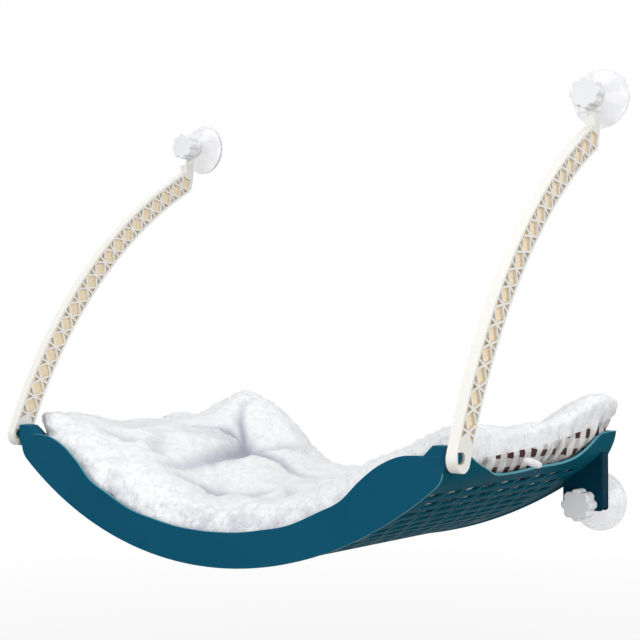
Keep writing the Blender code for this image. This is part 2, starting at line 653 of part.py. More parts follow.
def make_knob(name, place, start, end, parts, cutters, material):
    """A scalloped knob with a blind hole, and a wider seat for its insert."""
    bm = placed_plate(knob_outline(), KNOB_LENGTH, ACROSS, (0, -start - KNOB_LENGTH, 0))
    front = [face for face in bm.faces if all(vert.co.y < -start - KNOB_LENGTH / 2 for vert in face.verts)]
    bmesh.ops.bevel(bm, geom=front[0].edges[:], offset=KNOB_CHAMFER, segments=1, profile=0.5, affect="EDGES",
                    material=-1)
    knob = new_object(name, bm, parts, material)
    knob.location = place
    hole = rod(STUD_BORE, (0, -start + OVERRUN, 0), (0, -end - FIT, 0), STUD_SIDES)
    seat = rod(INSERT_RADIUS + FIT, (0, -start + OVERRUN, 0), (0, -start - INSERT_LENGTH - FIT, 0),
               INSERT_SIDES)
    for label, bm in (("_hole", hole), ("_seat", seat)):
        cutter = new_object(name + label, bm, cutters)
        cutter.location = place
        boolean(knob, cutter, "DIFFERENCE")


def make_insert(name, place, start, parts, cutters, material):
    """The six-sided threaded insert, flush with the knob's back."""
    bm = rod(INSERT_RADIUS, (0, -start - FIT, 0), (0, -start - INSERT_LENGTH, 0), INSERT_SIDES)
    insert = new_object(name, bm, parts, material)
    insert.location = place
    hole = rod(STUD_BORE, (0, -start + OVERRUN, 0), (0, -start - INSERT_LENGTH - OVERRUN, 0), STUD_SIDES)
    cutter = new_object(name + "_hole", hole, cutters)
    cutter.location = place
    boolean(insert, cutter, "DIFFERENCE")


def make_fastening(where, place, grip, parts, cutters, materials):
    """A cup, its stud, a knob and the knob's insert; grip is how much the knob clamps to the cup."""
    start = CUP_DEPTH + FIT + grip + FIT
    end = start + KNOB_LENGTH - STUD_END_SHORT
    make_cup("suction_cup_" + where, place, parts, materials["cup"])
    make_stud("stud_" + where, place, end, parts, materials["stud"])
    make_knob("knob_" + where, place, start, end, parts, cutters, materials["knob"])
    make_insert("knob_insert_" + where, place, start, parts, cutters, materials["insert"])


def share_at(shares, place):
    """Read a table of (place, share) as a smooth curve."""
    curve = smooth_curve(shares, 4)
    for (a, b), (c, d) in zip(curve, curve[1:]):
        if a <= place <= c:
            return b + (d - b) * (place - a) / (c - a)
    return curve[-1][1]


def bump(distance):
    return math.exp(-distance ** 2)


def inside_tray(x, y, z):
    """Draw a point of the cushion in to the tray's sides where it lies below the rim."""
    if z < rim_at(y) + PAD_RIM_RISE:
        widest = inside_at(y, z) - PAD_MARGIN
        x = max(-widest, min(widest, x))
    return x, y, z


def pad_point(u, v, upper):
    """The cushion's surface: u from side to side, v from front to back, each from -1 to 1."""
    back = (v + 1) / 2
    front_y = TRAY_FRONT + PANEL_THICK + PAD_MARGIN
    back_y = TRAY_BACK - PANEL_THICK - PAD_BACK
    y = front_y + (back_y - front_y) * back
    length, part = PAD_OPENING_shares
    opening = min(1.0, max(0.0, back - PAD_EARS_share) / length)
    wide = PAD_FRONT_HALF + (PAD_REAR_HALF - PAD_FRONT_HALF) * (part * opening + (1 - part) * back)
    x = u * wide * (1 - PAD_SIDE_share * abs(v) ** PAD_SIDE_ROUND)
    inner = radius_at(y) - WALL - PAD_SEAT
    rest = trough_bottom() + WALL + PAD_SEAT + inner - math.sqrt(inner ** 2 - x ** 2)
    edge = math.sqrt((1 - abs(u) ** PAD_ROUND) * (1 - abs(v) ** PAD_ROUND))
    seam = PAD_SEAM_FRONT + (PAD_SEAM_REAR - PAD_SEAM_FRONT) * back * max(0.0, u) ** 2
    if not upper:
        return inside_tray(x, y, rest + seam * (1 - edge))
    blend = back ** PAD_BLEND
    thick = PAD_THICK * (share_at(PAD_FRONT_shares, u) * (1 - blend) + share_at(PAD_REAR_shares, u) * blend)
    for across, along in PAD_TUFT_shares:
        away = math.hypot((u - across) * wide, (back - along) * (back_y - front_y))
        thick -= PAD_TUFT_DEPTH * bump(away / PAD_TUFT_SIZE)
    return inside_tray(x, y, rest + seam + (thick - seam) * edge)


def make_cushion(parts, material):
    """A loose pad: a subdivided box whose top and bottom are moved to the cushion's shape."""
    bm = bmesh.new()
    tops = bmesh.ops.create_grid(bm, x_segments=PAD_COLUMNS, y_segments=PAD_ROWS, size=1)["verts"]
    lifted = bmesh.ops.extrude_face_region(bm, geom=bm.faces[:])["geom"]
    upper = {item for item in lifted if isinstance(item, bmesh.types.BMVert)}
    for vert in bm.verts:
        vert.co = pad_point(vert.co.x, vert.co.y, vert in upper)
    bmesh.ops.remove_doubles(bm, verts=bm.verts, dist=FIT / 100)
    new_object("cushion", bm, parts, material)


def main():
    for made in list(bpy.data.objects):
        bpy.data.objects.remove(made)
    parts = new_collection("cat_window_bed")
    cutters = new_collection("cutters")
    blue = new_material("tray_plastic", (0.012, 0.085, 0.145), 0.42)
    cream = new_material("arm_plastic", (0.78, 0.72, 0.62), 0.45)
    plush = new_material("cushion_plush", (0.86, 0.86, 0.88), 0.95)
    materials = {
        "cup": new_material("cup_vinyl", (0.86, 0.88, 0.88), 0.2, 0.45),
        "stud": new_material("stud_plastic", (0.80, 0.80, 0.78), 0.4),
        "knob": new_material("knob_plastic", (0.82, 0.82, 0.80), 0.4),
        "insert": new_material("insert_brass", (0.60, 0.45, 0.20), 0.35),
    }
    materials["insert"].node_tree.nodes["Principled BSDF"].inputs["Metallic"].default_value = 1.0

    make_tray(parts, cutters, blue)
    make_arms(parts, cutters, cream)
    for side, name in ((-1, "left"), (1, "right")):
        make_pin(side, parts, blue)
        upper = side * (ARM_SPREAD - EYELET_INSET), 0, UPPER_HEIGHT
        lower = side * LOWER_SPREAD, 0, 0
        make_fastening("upper_" + name, upper, EYELET_THICK, parts, cutters, materials)
        make_fastening("lower_" + name, lower, BRACKET_DEPTH, parts, cutters, materials)
    make_cushion(parts, plush)


main()
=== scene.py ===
"""The cat's window bed, dressed: satin plastics, clear cups and a plush cushion, in the CAD model's frame.

Metres. X runs across the bed, Y points from the room to the window, Z is up.
"""
import math

import bmesh
import bpy
from mathutils import Matrix, Vector, noise


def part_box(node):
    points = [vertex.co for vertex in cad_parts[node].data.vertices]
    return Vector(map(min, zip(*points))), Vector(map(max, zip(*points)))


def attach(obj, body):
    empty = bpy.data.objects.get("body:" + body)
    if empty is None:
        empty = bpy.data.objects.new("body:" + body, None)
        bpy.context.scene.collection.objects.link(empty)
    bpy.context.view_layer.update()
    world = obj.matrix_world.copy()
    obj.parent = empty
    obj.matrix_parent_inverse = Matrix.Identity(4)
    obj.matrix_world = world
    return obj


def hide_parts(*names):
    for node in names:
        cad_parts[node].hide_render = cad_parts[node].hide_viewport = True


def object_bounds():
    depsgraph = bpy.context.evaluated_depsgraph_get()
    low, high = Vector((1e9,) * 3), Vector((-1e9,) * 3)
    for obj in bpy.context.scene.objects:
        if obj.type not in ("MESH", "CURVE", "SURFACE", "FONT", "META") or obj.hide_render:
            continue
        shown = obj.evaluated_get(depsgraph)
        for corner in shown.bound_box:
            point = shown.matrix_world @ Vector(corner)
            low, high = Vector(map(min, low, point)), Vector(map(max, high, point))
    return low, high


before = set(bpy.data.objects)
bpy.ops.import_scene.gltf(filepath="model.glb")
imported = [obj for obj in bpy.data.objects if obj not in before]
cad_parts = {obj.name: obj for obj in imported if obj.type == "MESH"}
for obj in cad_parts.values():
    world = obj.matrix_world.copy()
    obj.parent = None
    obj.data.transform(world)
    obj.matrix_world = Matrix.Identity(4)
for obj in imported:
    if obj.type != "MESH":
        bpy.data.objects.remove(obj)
cad_low, cad_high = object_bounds()

# Photograph's camera
CAMERA_PLACE = (0.7940, -1.1804, 0.1452)
CAMERA_TURN = (91.58, 0.0, 36.70)  # degrees
CAMERA_LENS = 71.02  # on a sensor 36 wide

# Room
FLOOR_DROP = 0.30  # floor under the tray
FLOOR_SIZE = 14.0
FLOOR_TONE = 0.34
FLOOR_GLOW = 0.86  # how far the floor under the bed is lifted towards white
FLOOR_FADE = (0.5, 2.0)  # distances between which it turns white
WHITE = (1.0, 1.0, 1.0, 1.0)
SKY_COLOUR = (0.94, 0.97, 1.0, 1.0)
SKY_LIGHT = 0.42

LAMPS = (("key", (-0.9, -2.0, 1.9), 1.6, 7.0), ("front", (-0.2, -2.5, 0.15), 1.6, 27.0),
         ("top", (-0.2, -0.3, 2.3), 1.8, 19.0), ("fill", (2.2, -0.9, 0.5), 1.8, 29.0),
         ("back", (0.6, 1.8, 1.6), 1.6, 8.0))  # name, place, size, watts

# Where the pieces stand, read from the frame
PIN_LOW, PIN_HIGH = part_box("pivot_pin_right")
PIN_REACH = -(PIN_LOW.y + PIN_HIGH.y) / 2
PIN_HEIGHT = (PIN_LOW.z + PIN_HIGH.z) / 2
TRAY_LOW, TRAY_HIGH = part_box("tray")
TRAY_FRONT, TRAY_BACK = TRAY_LOW.y, TRAY_HIGH.y
ARM_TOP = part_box("arm_right")[1].z
SIDES = {"left": -1, "right": 1}
PLACES = ("upper_left", "upper_right", "lower_left", "lower_right")

ARM_MIDDLE = 0.270  # from the bed's middle
ARM_HALF = 0.0049
WEB_HALF = 0.0012  # of the wall between the cells on an arm's two faces

# Tray
FRONT_RADIUS = 0.401  # of the trough's outside at its front
REAR_RADIUS = 0.445
WALL = 0.0025
PANEL_THICK = 0.003
PANEL_LIP = 0.0015  # how far the end walls stand out round the trough
TROUGH_BOTTOM = TRAY_LOW.z + PANEL_LIP
SHELL_FRONT = TRAY_FRONT + PANEL_THICK / 2
SHELL_BACK = TRAY_BACK - PANEL_THICK / 2
SHELL_DEPTH = SHELL_BACK - SHELL_FRONT
SIDE_ANGLE = 38.5  # degrees of trough before the sides turn up
SIDE_CORNER = 0.030
SIDE_COLUMNS = 14  # grid columns from the last row of slots to the rim
SIDE_TOP = 0.010  # rim's ends above the pins
RIM_DIP = 0.0317  # how far the rim falls between them
CURVE_STEPS = 6  # between given points of a smooth curve
RIM_SHARES = ((-0.05, 0.03), (0.075, 0.04), (0.145, 0.47), (0.24, 0.79), (0.31, 0.97), (0.42, 1.0),
              (0.56, 0.91), (0.69, 0.88), (0.765, 0.755), (0.82, 0.47), (0.87, 0.17), (0.92, 0.025),
              (1.05, 0.0))  # (share of the depth, share of the dip)
RIM_FLARE = 0.0016  # how far the rim's lip leans out
PANEL_CORNER = 0.022
PANEL_STEPS = 40  # along half its lower edge
PANEL_CORNER_STEPS = 8
PANEL_TOP_MIDDLE = -0.081  # heights from the pins
PANEL_TOP_END = 0.0005
PANEL_TOP_SHARES = ((0.0, 0.0), (0.13, 0.018), (0.25, 0.075), (0.38, 0.163), (0.51, 0.337), (0.6, 0.475),
                    (0.675, 0.69), (0.75, 0.865), (0.83, 0.975), (0.9, 1.0),
                    (1.0, 1.0))  # (share of the half width, share of the rise)
REAR_TOP_MIDDLE = -0.079
SLOT_ANGLE = 2.25  # degrees between rows of slots
SLOT_ROWS = 33
SLOT_WIDTH_SHARE = 0.57
SLOT_LENGTH = 0.0205
SLOT_PITCH = 0.027
SLOT_START = 0.00875  # first slot's front end from the trough's
SLOTS_PER_ROW = 9
SLOT_CORNER = 0.0026
SLOT_LINES = 8  # grid steps along one slot's tile
SLOT_COLUMNS = 4  # and across it
SLOT_INSET = 0.0001  # on the flat grid, which is two wide
BACK_LINES = 5  # grid steps behind the last slots
SLOT_END = SLOT_ANGLE * SLOT_ROWS / 2  # degrees where the last row of slots ends
PANEL_GROOVE = 0.0007  # dark line between the front panel and the trough
EDGE_ROUND = 0.0004
SHARP_ANGLE = 32.0  # degrees between faces that stay crisp
TROUGH_SHARP_ANGLE = 45.0
NODE_WELD = 0.000002  # distances under which points become one
SPUN_WELD = 0.00001
NODE_FLAT_ANGLE = 0.4  # degrees between triangles that become one face

EAR_WIDTH = 0.0185
EAR_RISE = 0.0095
EAR_GAP = 0.0025  # to the arm
EAR_CHAMFER = 0.005
EAR_DEPTH = 0.0135
EAR_TOP = PIN_HEIGHT + EAR_RISE
BRACKET_WIDTH = 0.041
BRACKET_DEPTH = 0.0152
BRACKET_WALL = 0.003
BRACKET_BELOW = 0.006  # the stud's middle
BRACKET_CORNER = 0.003
CORNER_STEPS, FORK_STEPS = 6, 16
BRACKET_UNDER_STEPS = 24  # points of the trough's underside
BRACKET_UNDER_START = 8.0  # degrees before the last slots where they begin
STUD_BORE = 0.0043  # radius of the fork's round end

PIN_RADIUS = 0.0027
PIN_HEAD_RADIUS = 0.0043
PIN_HEAD = 0.0016
PIN_STEPS = 48  # round the axis

# Cups and knobs, from the frame
CUP_LOW, CUP_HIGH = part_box("suction_cup_lower_right")
LOWER_SPREAD = (CUP_LOW.x + CUP_HIGH.x) / 2
CUP_PROFILE = ((0.0, 0.0115), (0.0073, 0.0115), (0.0073, 0.0148), (0.0043, 0.0148), (0.0043, 0.0213),
               (0.0050, 0.0220), (0.0086, 0.0220), (0.0095, 0.0211), (0.0096, 0.0185), (0.0099, 0.0166),
               (0.0112, 0.0150), (0.0148, 0.0122), (0.0196, 0.0086), (0.0232, 0.0058), (0.0246, 0.0047),
               (0.0252, 0.0049), (0.0258, 0.0043), (0.0272, 0.0031), (0.0284, 0.0026), (0.0292, 0.0025),
               (0.0298, 0.0018), (0.0300, 0.0008), (0.0297, 0.0), (0.0268, 0.0),
               (0.0258, 0.0007), (0.0200, 0.0020), (0.0, 0.0030))  # (radius, distance from the glass)
CUP_STEPS = 72
KNOB_LENGTH = 0.0155
KNOB_RADIUS = 0.0155
KNOB_WAVE = 0.0011
KNOB_LOBES = 8
KNOB_POINTS = 16 * KNOB_LOBES
KNOB_CREST = 2.2  # power that widens the lobes' crests
KNOB_HOLE = 0.0066
KNOB_DEPTH = 0.0112  # of its blind hole
KNOB_CHAMFER = 0.0013
KNOB_CHAMFER_STEPS = 4
BRACKET_GAP = 0.0003  # to the cup
BRACKET_BACK = CUP_LOW.y - BRACKET_GAP

# Cushion
PAD_MARGIN = 0.0012  # to the tray's walls
PAD_SEAT = 0.0004  # over the trough's bottom
PAD_RIM_RISE = 0.0048  # over the rim, up to where the sides hold the pad in
PAD_THICK = 0.075
PAD_CURVE_STEPS = 4
PAD_FRONT_SHARES = ((-1.0, 0.78), (-0.7, 0.84), (0.0, 0.70), (0.7, 0.89), (1.0, 0.76))
PAD_REAR_SHARES = ((-1.0, 0.20), (-0.9, 0.26), (-0.76, 0.72), (-0.65, 1.44), (-0.54, 1.84), (-0.42, 1.86),
                   (-0.3, 1.60), (-0.15, 1.16), (0.0, 1.04), (0.5, 1.08), (0.7, 0.82), (0.85, 0.84),
                   (1.0, 1.18))  # (share of the half width, share of the thickness)
PAD_LIFTS = (((-0.255, -0.035), (0.055, 0.022), 0.031), ((-0.250, -0.135), (0.060, 0.080), -0.012),
             ((0.255, -0.155), (0.080, 0.065), -0.016),
             ((0.265, -0.105), (0.050, 0.034), -0.010))  # (X, Y), half widths, height
PAD_SEAM = 0.016  # seam above the trough
PAD_SEAM_LEFT = 0.004
PAD_SEAM_RIGHT = 0.005
PAD_SEAM_RISE = 0.021  # more than that at the right end's back
PAD_LEAST = 0.006  # of plush above the seam
PAD_EARS_OVER = {-1: 0.034, 1: 0.013}  # how far the plush spreads over each side's ear
PAD_OVER_RISE = 0.023  # height over which it does
PAD_OVER_SHARE = 0.5  # of the depth, over which this dies out
PAD_BULGE = {-1: 0.006, 1: 0.021}  # how far each end swells over the rim at the back
PAD_FRONT_HALF = {-1: 0.2390, 1: 0.2335}
PAD_REAR_HALF = 0.2895
PAD_EARS_SHARE = 0.06  # of the depth, where the ears end
PAD_OPENING_SHARES = (0.08, 0.5)  # of the depth and of the widening, just behind the ears
PAD_SIDE_SHARE = 0.012  # by which the front and back ends are drawn in
PAD_SIDE_ROUND = 8  # powers: the higher, the squarer
PAD_ROUND = 16
PAD_BLEND = 1.5  # power that moves the rear's thickness back
PAD_BACK = 0.004
PAD_COLUMNS, PAD_ROWS = 150, 72
PAD_SPREAD = 0.35  # share of a grid step kept at the edges
PAD_WELD = 0.000005
PAD_SWELL = 0.005  # most that the filling pushes a point
PAD_SWELL_SHARE = 0.7  # of it, left out of the thickness beforehand
PAD_PRESSURE = 4.0
PAD_FRAMES = 20
TUFT_DEPTH = 0.013
TUFT_SIZE = 0.030
TUFT_HOLD = 0.006  # radius that the filling doesn't move
TUFTS = ((-0.101, -0.115), (-0.056, -0.206), (0.101, -0.115), (0.056, -0.206))
DIMPLE_DEPTH = 0.009  # more, where the thread pulls
DIMPLE_SIZE = 0.0075
CREASE_REACH = 0.08  # from a crease's points, beyond which it does nothing
CREASE_FADE = 1.5  # power of its dying out along its length
CREASE_FULL = 0.0085  # depth whose painted shade is darkest
# most painted shade, in a crease or a pleat
CREASE_DARK = 0.9
CREASES = [([(x / 1000, y / 1000) for x, y in points], depth, half) for points, depth, half in (
    # X and Y in millimetres from a tuft outwards, depth, half width
    (((-101, -115), (-112, -106), (-127, -94), (-137, -78), (-135, -50)), 0.0085, 0.0042),
    (((-101, -115), (-113, -116), (-131, -128), (-150, -142), (-172, -150)), 0.0100, 0.0048),
    (((-101, -115), (-80, -105), (-62, -82), (-52, -62)), 0.0065, 0.0045),
    (((-101, -115), (-75, -116), (-50, -114), (-10, -126), (40, -140)), 0.0080, 0.0060),
    (((-101, -115), (-97, -135), (-97, -172), (-108, -215), (-122, -255)), 0.0095, 0.0090),
    (((-101, -118), (-120, -140), (-150, -160), (-190, -165)), 0.0035, 0.0120),
    (((-56, -206), (-68, -216), (-83, -226), (-106, -244)), 0.0085, 0.0065),
    (((-56, -206), (-23, -196), (4, -180)), 0.0070, 0.0060),
    (((-56, -206), (-30, -210), (10, -206)), 0.0050, 0.0060),
    (((-171, -224), (-190, -233), (-213, -243)), 0.0035, 0.0090),
    (((-140, -215), (-160, -190), (-190, -175)), 0.0030, 0.0110),
    (((101, -115), (112, -96), (128, -70)), 0.0065, 0.0060),
    (((101, -115), (130, -125), (165, -140)), 0.0070, 0.0065),
    (((101, -115), (80, -140), (62, -180)), 0.0060, 0.0100),
    (((56, -206), (80, -218), (105, -240)), 0.0065, 0.0065),
    (((56, -206), (24, -194), (0, -172)), 0.0055, 0.0065),
    (((205, -85), (225, -130), (228, -180)), 0.0035, 0.0130),
)]
PILE_HEIGHTS = ((50.0, 0.0022), (130.0, 0.0016), (300.0, 0.0011))  # (lumps in a metre, height)
PLEAT_HEIGHT = 0.0022  # gathers of the backing under the seam
PLEATS = (95.0, 30.0, 4.0)  # in a metre, along Y, Z and X
PLEAT_RISE = 0.006  # height at the rim over which they grow
PLEAT_START = 0.3  # share that they have at the rim
PLEAT_ENDS = 0.2  # from the bed's middle, where they begin
CHECK_PITCH = 0.0205
THREAD_TURNS = 5200.0  # radians of the weave's wave in a metre
CHECK_LEAN = 1.1  # of the weave along the sides
GRAIN = 0.00006  # height of the plastics' spark grain
TIE_START, TIE_END = (0.2860, -0.204, 0.0545), (0.2900, -0.184, 0.0490)
TIE_RADIUS = 0.0042
TIE_FLAT = 0.8  # its thickness as a share of its width
TIE_BLUNT = 0.32  # power that squares its ends
TIE_LUMPS = 0.18
TIE_SEGMENTS, TIE_RINGS = 20, 24

# Shader maths

def both_ways(operation):
    """Methods for an operator with the wrapped number on its left and on its right."""
    return (lambda self, other: self.nodes.maths(operation, self, other),
            lambda self, other: self.nodes.maths(operation, other, self))


class Sum:
    """A number that changes over a surface; arithmetic on it adds Math nodes."""

    def __init__(self, nodes, socket):
        self.nodes = nodes
        self.socket = socket

    __add__, __radd__ = both_ways("ADD")
    __sub__, __rsub__ = both_ways("SUBTRACT")
    __mul__, __rmul__ = both_ways("MULTIPLY")
    __truediv__, __rtruediv__ = both_ways("DIVIDE")
    __gt__ = both_ways("GREATER_THAN")[0]


class Nodes:
    """The nodes of a material or a world."""

    def __init__(self, tree):
        self.tree = tree

    def node(self, kind, inputs=None, **settings):
        """Add a shader node: its settings first, then its sockets' values or links."""
        made = self.tree.nodes.new(kind)
        for name, value in settings.items():
            setattr(made, name, value)
        for name, value in (inputs or {}).items():
            self.feed(made.inputs[name], value)
        return made

    def feed(self, socket, value):
        if isinstance(value, Sum):
            value = value.socket
        if isinstance(value, bpy.types.NodeSocket):
            self.tree.links.new(value, socket)
        else:
            socket.default_value = value

    def maths(self, operation, *values):
        made = self.node("ShaderNodeMath", dict(enumerate(values)), operation=operation)
        return Sum(self, made.outputs[0])

    def seen(self):
        """1 for what is seen straight, in gloss or through a clear piece, else 0."""
        path = self.node("ShaderNodeLightPath").outputs
        seen = self.maths("MAXIMUM", path["Is Camera Ray"], path["Is Glossy Ray"])
        return self.maths("MAXIMUM", seen, path["Is Transmission Ray"])


class Paint(Nodes):
    """A material under way: its nodes, and the Principled shader that they feed."""

    def __init__(self, name, colour, roughness):
        self.material = bpy.data.materials.new(name)
        self.material.use_nodes = True
        super().__init__(self.material.node_tree)
        self.shader = self.tree.nodes["Principled BSDF"]
        self.shader.inputs["Base Color"].default_value = (*colour, 1.0)
        self.shader.inputs["Roughness"].default_value = roughness

    def place(self, stretch=(1.0, 1.0, 1.0)):
        """The surface's own coordinates, stretched."""
        start = self.node("ShaderNodeTexCoord").outputs["Object"]
        return self.node("ShaderNodeMapping", {"Vector": start, "Scale": stretch}).outputs["Vector"]

    def noise(self, scale, detail=3.0, rough=0.55, stretch=(1.0, 1.0, 1.0)):
        made = self.node("ShaderNodeTexNoise", {"Vector": self.place(stretch), "Scale": scale,
                                                "Detail": detail, "Roughness": rough})
        return Sum(self, made.outputs["Fac"])

    def attribute(self, name):
        return Sum(self, self.node("ShaderNodeAttribute", attribute_name=name).outputs["Fac"])

    def ramp(self, value, low, high, start=0.0, end=1.0):
        """Value from low to high, spread from start to end and held there."""
        made = self.node("ShaderNodeMapRange", {"Value": value, "From Min": low, "From Max": high,
                                                "To Min": start, "To Max": end})
        return Sum(self, made.outputs["Result"])

    def mix(self, share, first, second):
        """A colour between two, which are colours or links."""
        made = self.node("ShaderNodeMix", data_type="RGBA")
        self.feed(made.inputs[0], share)
        for socket, value in ((made.inputs[6], first), (made.inputs[7], second)):
            self.feed(socket, (*value, 1.0) if isinstance(value, tuple) else value)
        return made.outputs[2]

    def bump(self, height, distance, strength=1.0, under=None):
        inputs = {"Height": height, "Distance": distance, "Strength": strength}
        if under:
            inputs["Normal"] = under
        return self.node("ShaderNodeBump", inputs).outputs["Normal"]

    def set(self, **values):
        """Set or link sockets of the shader, by names whose spaces are underscores."""
        for name, value in values.items():
            self.feed(self.shader.inputs[name.replace("_", " ")], value)
        return self.material


def moulded_arm():
    """Cream moulded plastic with painted shade: greyer cell walls, darker towards the bottom, and a warmer,
    tan shade on the recessed web.
    """
    paint = Paint("arm_cream", (0.80, 0.76, 0.70), 0.44)
    parts = paint.node("ShaderNodeSeparateXYZ", {0: paint.place()}).outputs
    # painted shade: darker and warmer towards the arm's bottom
    low = paint.ramp(Sum(paint, parts[2]), PIN_HEIGHT, ARM_TOP, 1.0, 0.0)
    flow = paint.ramp(paint.noise(30.0, 4.0, 0.6), 0.35, 0.7)
    tone = paint.mix(low, (0.64, 0.64, 0.66), (0.53, 0.505, 0.485))
    tone = paint.mix(flow * 0.25, tone, (0.57, 0.545, 0.51))
    # rib tops and flanges are painted pale cream; the cell walls keep the greyer painted shade
    tone = paint.mix(paint.attribute("rib") * 0.9, tone, (0.84, 0.82, 0.77))
    # painted shade: warm tan on the recessed web of the cells
    tone = paint.mix(paint.attribute("recess") * 0.95, tone, (0.90, 0.77, 0.56))
    relief = paint.bump(paint.noise(2200.0, 1.0), GRAIN, 0.5)
    relief = paint.bump(paint.noise(70.0, 3.0), 0.0002, 0.4, relief)
    gloss = paint.ramp(paint.noise(45.0, 4.0, 0.65), 0.3, 0.7, 0.36, 0.50)
    return paint.set(Base_Color=tone, Roughness=gloss, Normal=relief, Specular_IOR_Level=0.35)


def moulded(name, colour, worn, roughness, gloss_level=0.3, edge=None):
    """Satin moulded plastic: faint flow mottle, fine spark grain, uneven gloss, perhaps painted highlights on
    its edges.
    """
    paint = Paint(name, colour, roughness)
    flow = paint.ramp(paint.noise(9.0, 4.0, 0.6, (1.0, 1.6, 1.0)), 0.35, 0.65)
    speck = paint.ramp(paint.noise(520.0, 2.0), 0.56, 0.72)
    tone = paint.mix(flow * 0.55, colour, worn)
    tone = paint.mix(speck * 0.12, tone, worn)
    if edge:
        # painted highlight: a paler tone on the faces marked as edges
        tone = paint.mix(paint.ramp(paint.attribute("edge"), 0.7, 1.0, 0.0, 0.8), tone, edge)
    relief = paint.bump(paint.noise(2600.0, 1.0), GRAIN, 0.6)
    relief = paint.bump(paint.noise(60.0, 3.0), GRAIN * 3, 0.35, relief)
    gloss = paint.ramp(paint.noise(38.0, 4.0, 0.65), 0.3, 0.7, roughness - 0.05, roughness + 0.07)
    return paint.set(Base_Color=tone, Roughness=gloss, Normal=relief, Specular_IOR_Level=gloss_level)


def clear_vinyl():
    """The cups' clear soft vinyl, faintly milky, with flow lines and dust."""
    paint = Paint("clear_vinyl", (0.93, 0.93, 0.94), 0.12)
    flow = paint.ramp(paint.noise(70.0, 3.0, 0.6), 0.35, 0.7)
    tone = paint.mix(flow, (0.95, 0.95, 0.96), (0.88, 0.88, 0.90))
    gloss = paint.ramp(paint.noise(160.0, 3.0), 0.3, 0.75, 0.08, 0.20)
    relief = paint.bump(paint.noise(120.0, 2.0), 0.0001, 0.3)
    return paint.set(Base_Color=tone, Roughness=gloss, Normal=relief, Transmission_Weight=0.74, IOR=1.41)


def plush():
    """White plush: short tousled pile, with painted shade in its creases, and greyer where the nap lies down.
    """
    paint = Paint("white_plush", (0.87, 0.87, 0.88), 0.95)
    crease_shade = paint.attribute("crease_shade")
    nap = paint.ramp(paint.noise(42.0, 4.0, 0.6), 0.48, 0.74)
    clumps = paint.ramp(paint.noise(190.0, 3.0, 0.6), 0.50, 0.72)
    hairs = paint.ramp(paint.noise(900.0, 2.0, 0.6, (1.0, 0.45, 1.0)), 0.48, 0.75)
    tone = paint.mix(nap * 0.28, (0.94, 0.94, 0.945), (0.70, 0.72, 0.76))
    tone = paint.mix(clumps * 0.34, tone, (0.60, 0.61, 0.66))
    tone = paint.mix(hairs * 0.16, tone, (0.60, 0.60, 0.63))
    front_mottle = paint.ramp(clumps * 0.5 + nap, 0.0, 1.3)
    # greyer mottle towards the pad's front edge
    tone = paint.mix(paint.attribute("front") * front_mottle, tone, (0.52, 0.50, 0.58))
    # painted shade in the creases
    tone = paint.mix(crease_shade, tone, (0.36, 0.37, 0.46))
    relief = paint.bump(paint.noise(950.0, 3.0, 0.7, (1.0, 0.5, 1.0)), 0.0012, 0.75)
    relief = paint.bump(paint.noise(300.0, 3.0, 0.6), 0.0022, 0.6, relief)
    paint.set(Sheen_Weight=0.35, Sheen_Roughness=0.5, Specular_IOR_Level=0.1)
    return paint.set(Base_Color=tone, Normal=relief, Roughness=paint.ramp(clumps, 0.0, 1.0, 0.88, 1.0))


def checked_cloth():
    """The backing's brown and grey checked cotton, woven along the piece's own flat coordinates."""
    paint = Paint("checked_cotton", (0.80, 0.79, 0.78), 0.85)
    flat = paint.node("ShaderNodeAttribute", attribute_name="flat").outputs["Vector"]
    parts = paint.node("ShaderNodeSeparateXYZ", {0: flat}).outputs
    across, along = Sum(paint, parts[0]), Sum(paint, parts[1])
    waver = paint.noise(25.0, 2.0) * 0.003
    rows = paint.maths("FRACT", (across + waver) / CHECK_PITCH) > 0.56
    columns = paint.maths("FRACT", (along + waver) / CHECK_PITCH) > 0.54
    weft = paint.maths("SINE", across * THREAD_TURNS)
    warp = paint.maths("SINE", along * THREAD_TURNS)
    thread = paint.ramp(weft * warp, -1.0, 1.0)
    tone = paint.mix(columns * 0.8, (0.88, 0.87, 0.86), (0.56, 0.50, 0.47))
    tone = paint.mix(rows * 0.30, tone, (0.62, 0.56, 0.53))
    tone = paint.mix(rows * columns, tone, (0.045, 0.011, 0.007))
    tone = paint.mix(thread * 0.08, tone, (0.35, 0.30, 0.28))
    # painted shade in the valleys of the pleats
    tone = paint.mix(paint.attribute("crease_shade"), tone, (0.10, 0.08, 0.08))
    relief = paint.bump(thread, 0.0003, 0.6)
    relief = paint.bump(paint.noise(160.0, 3.0), 0.0012, 0.5, relief)
    return paint.set(Base_Color=tone, Normal=relief, Roughness=paint.ramp(thread, 0.0, 1.0, 0.78, 0.92),
                     Specular_IOR_Level=0.2)


def brass():
    """Turned brass of the threaded inserts, slightly tarnished."""
    paint = Paint("turned_brass", (0.60, 0.45, 0.20), 0.3)
    spots = paint.ramp(paint.noise(300.0, 3.0), 0.4, 0.7)
    tone = paint.mix(spots, (0.66, 0.48, 0.20), (0.42, 0.30, 0.14))
    return paint.set(Base_Color=tone, Roughness=paint.ramp(spots, 0.0, 1.0, 0.24, 0.45), Metallic=1.0)


# Mesh making

def new_object(name, bm, material):
    mesh = bpy.data.meshes.new(name)
    bm.to_mesh(mesh)
    bm.free()
    mesh.materials.append(material)
    made = bpy.data.objects.new(name, mesh)
    bpy.context.scene.collection.objects.link(made)
    return made


def new_piece(name, bm, material, body, slot, *nodes, crisp=True):
    """Make an object of a bmesh, dressed, riding on its body and standing for its CAD nodes."""
    made = new_object(name, bm, material)
    made.data.shade_smooth()
    if crisp:
        made.data.set_sharp_from_angle(angle=math.radians(SHARP_ANGLE))
        weighted = made.modifiers.new("even_shading", "WEIGHTED_NORMAL")
        weighted.keep_sharp = True
    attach(made, body)
    if nodes:
        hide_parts(*nodes)
    return made


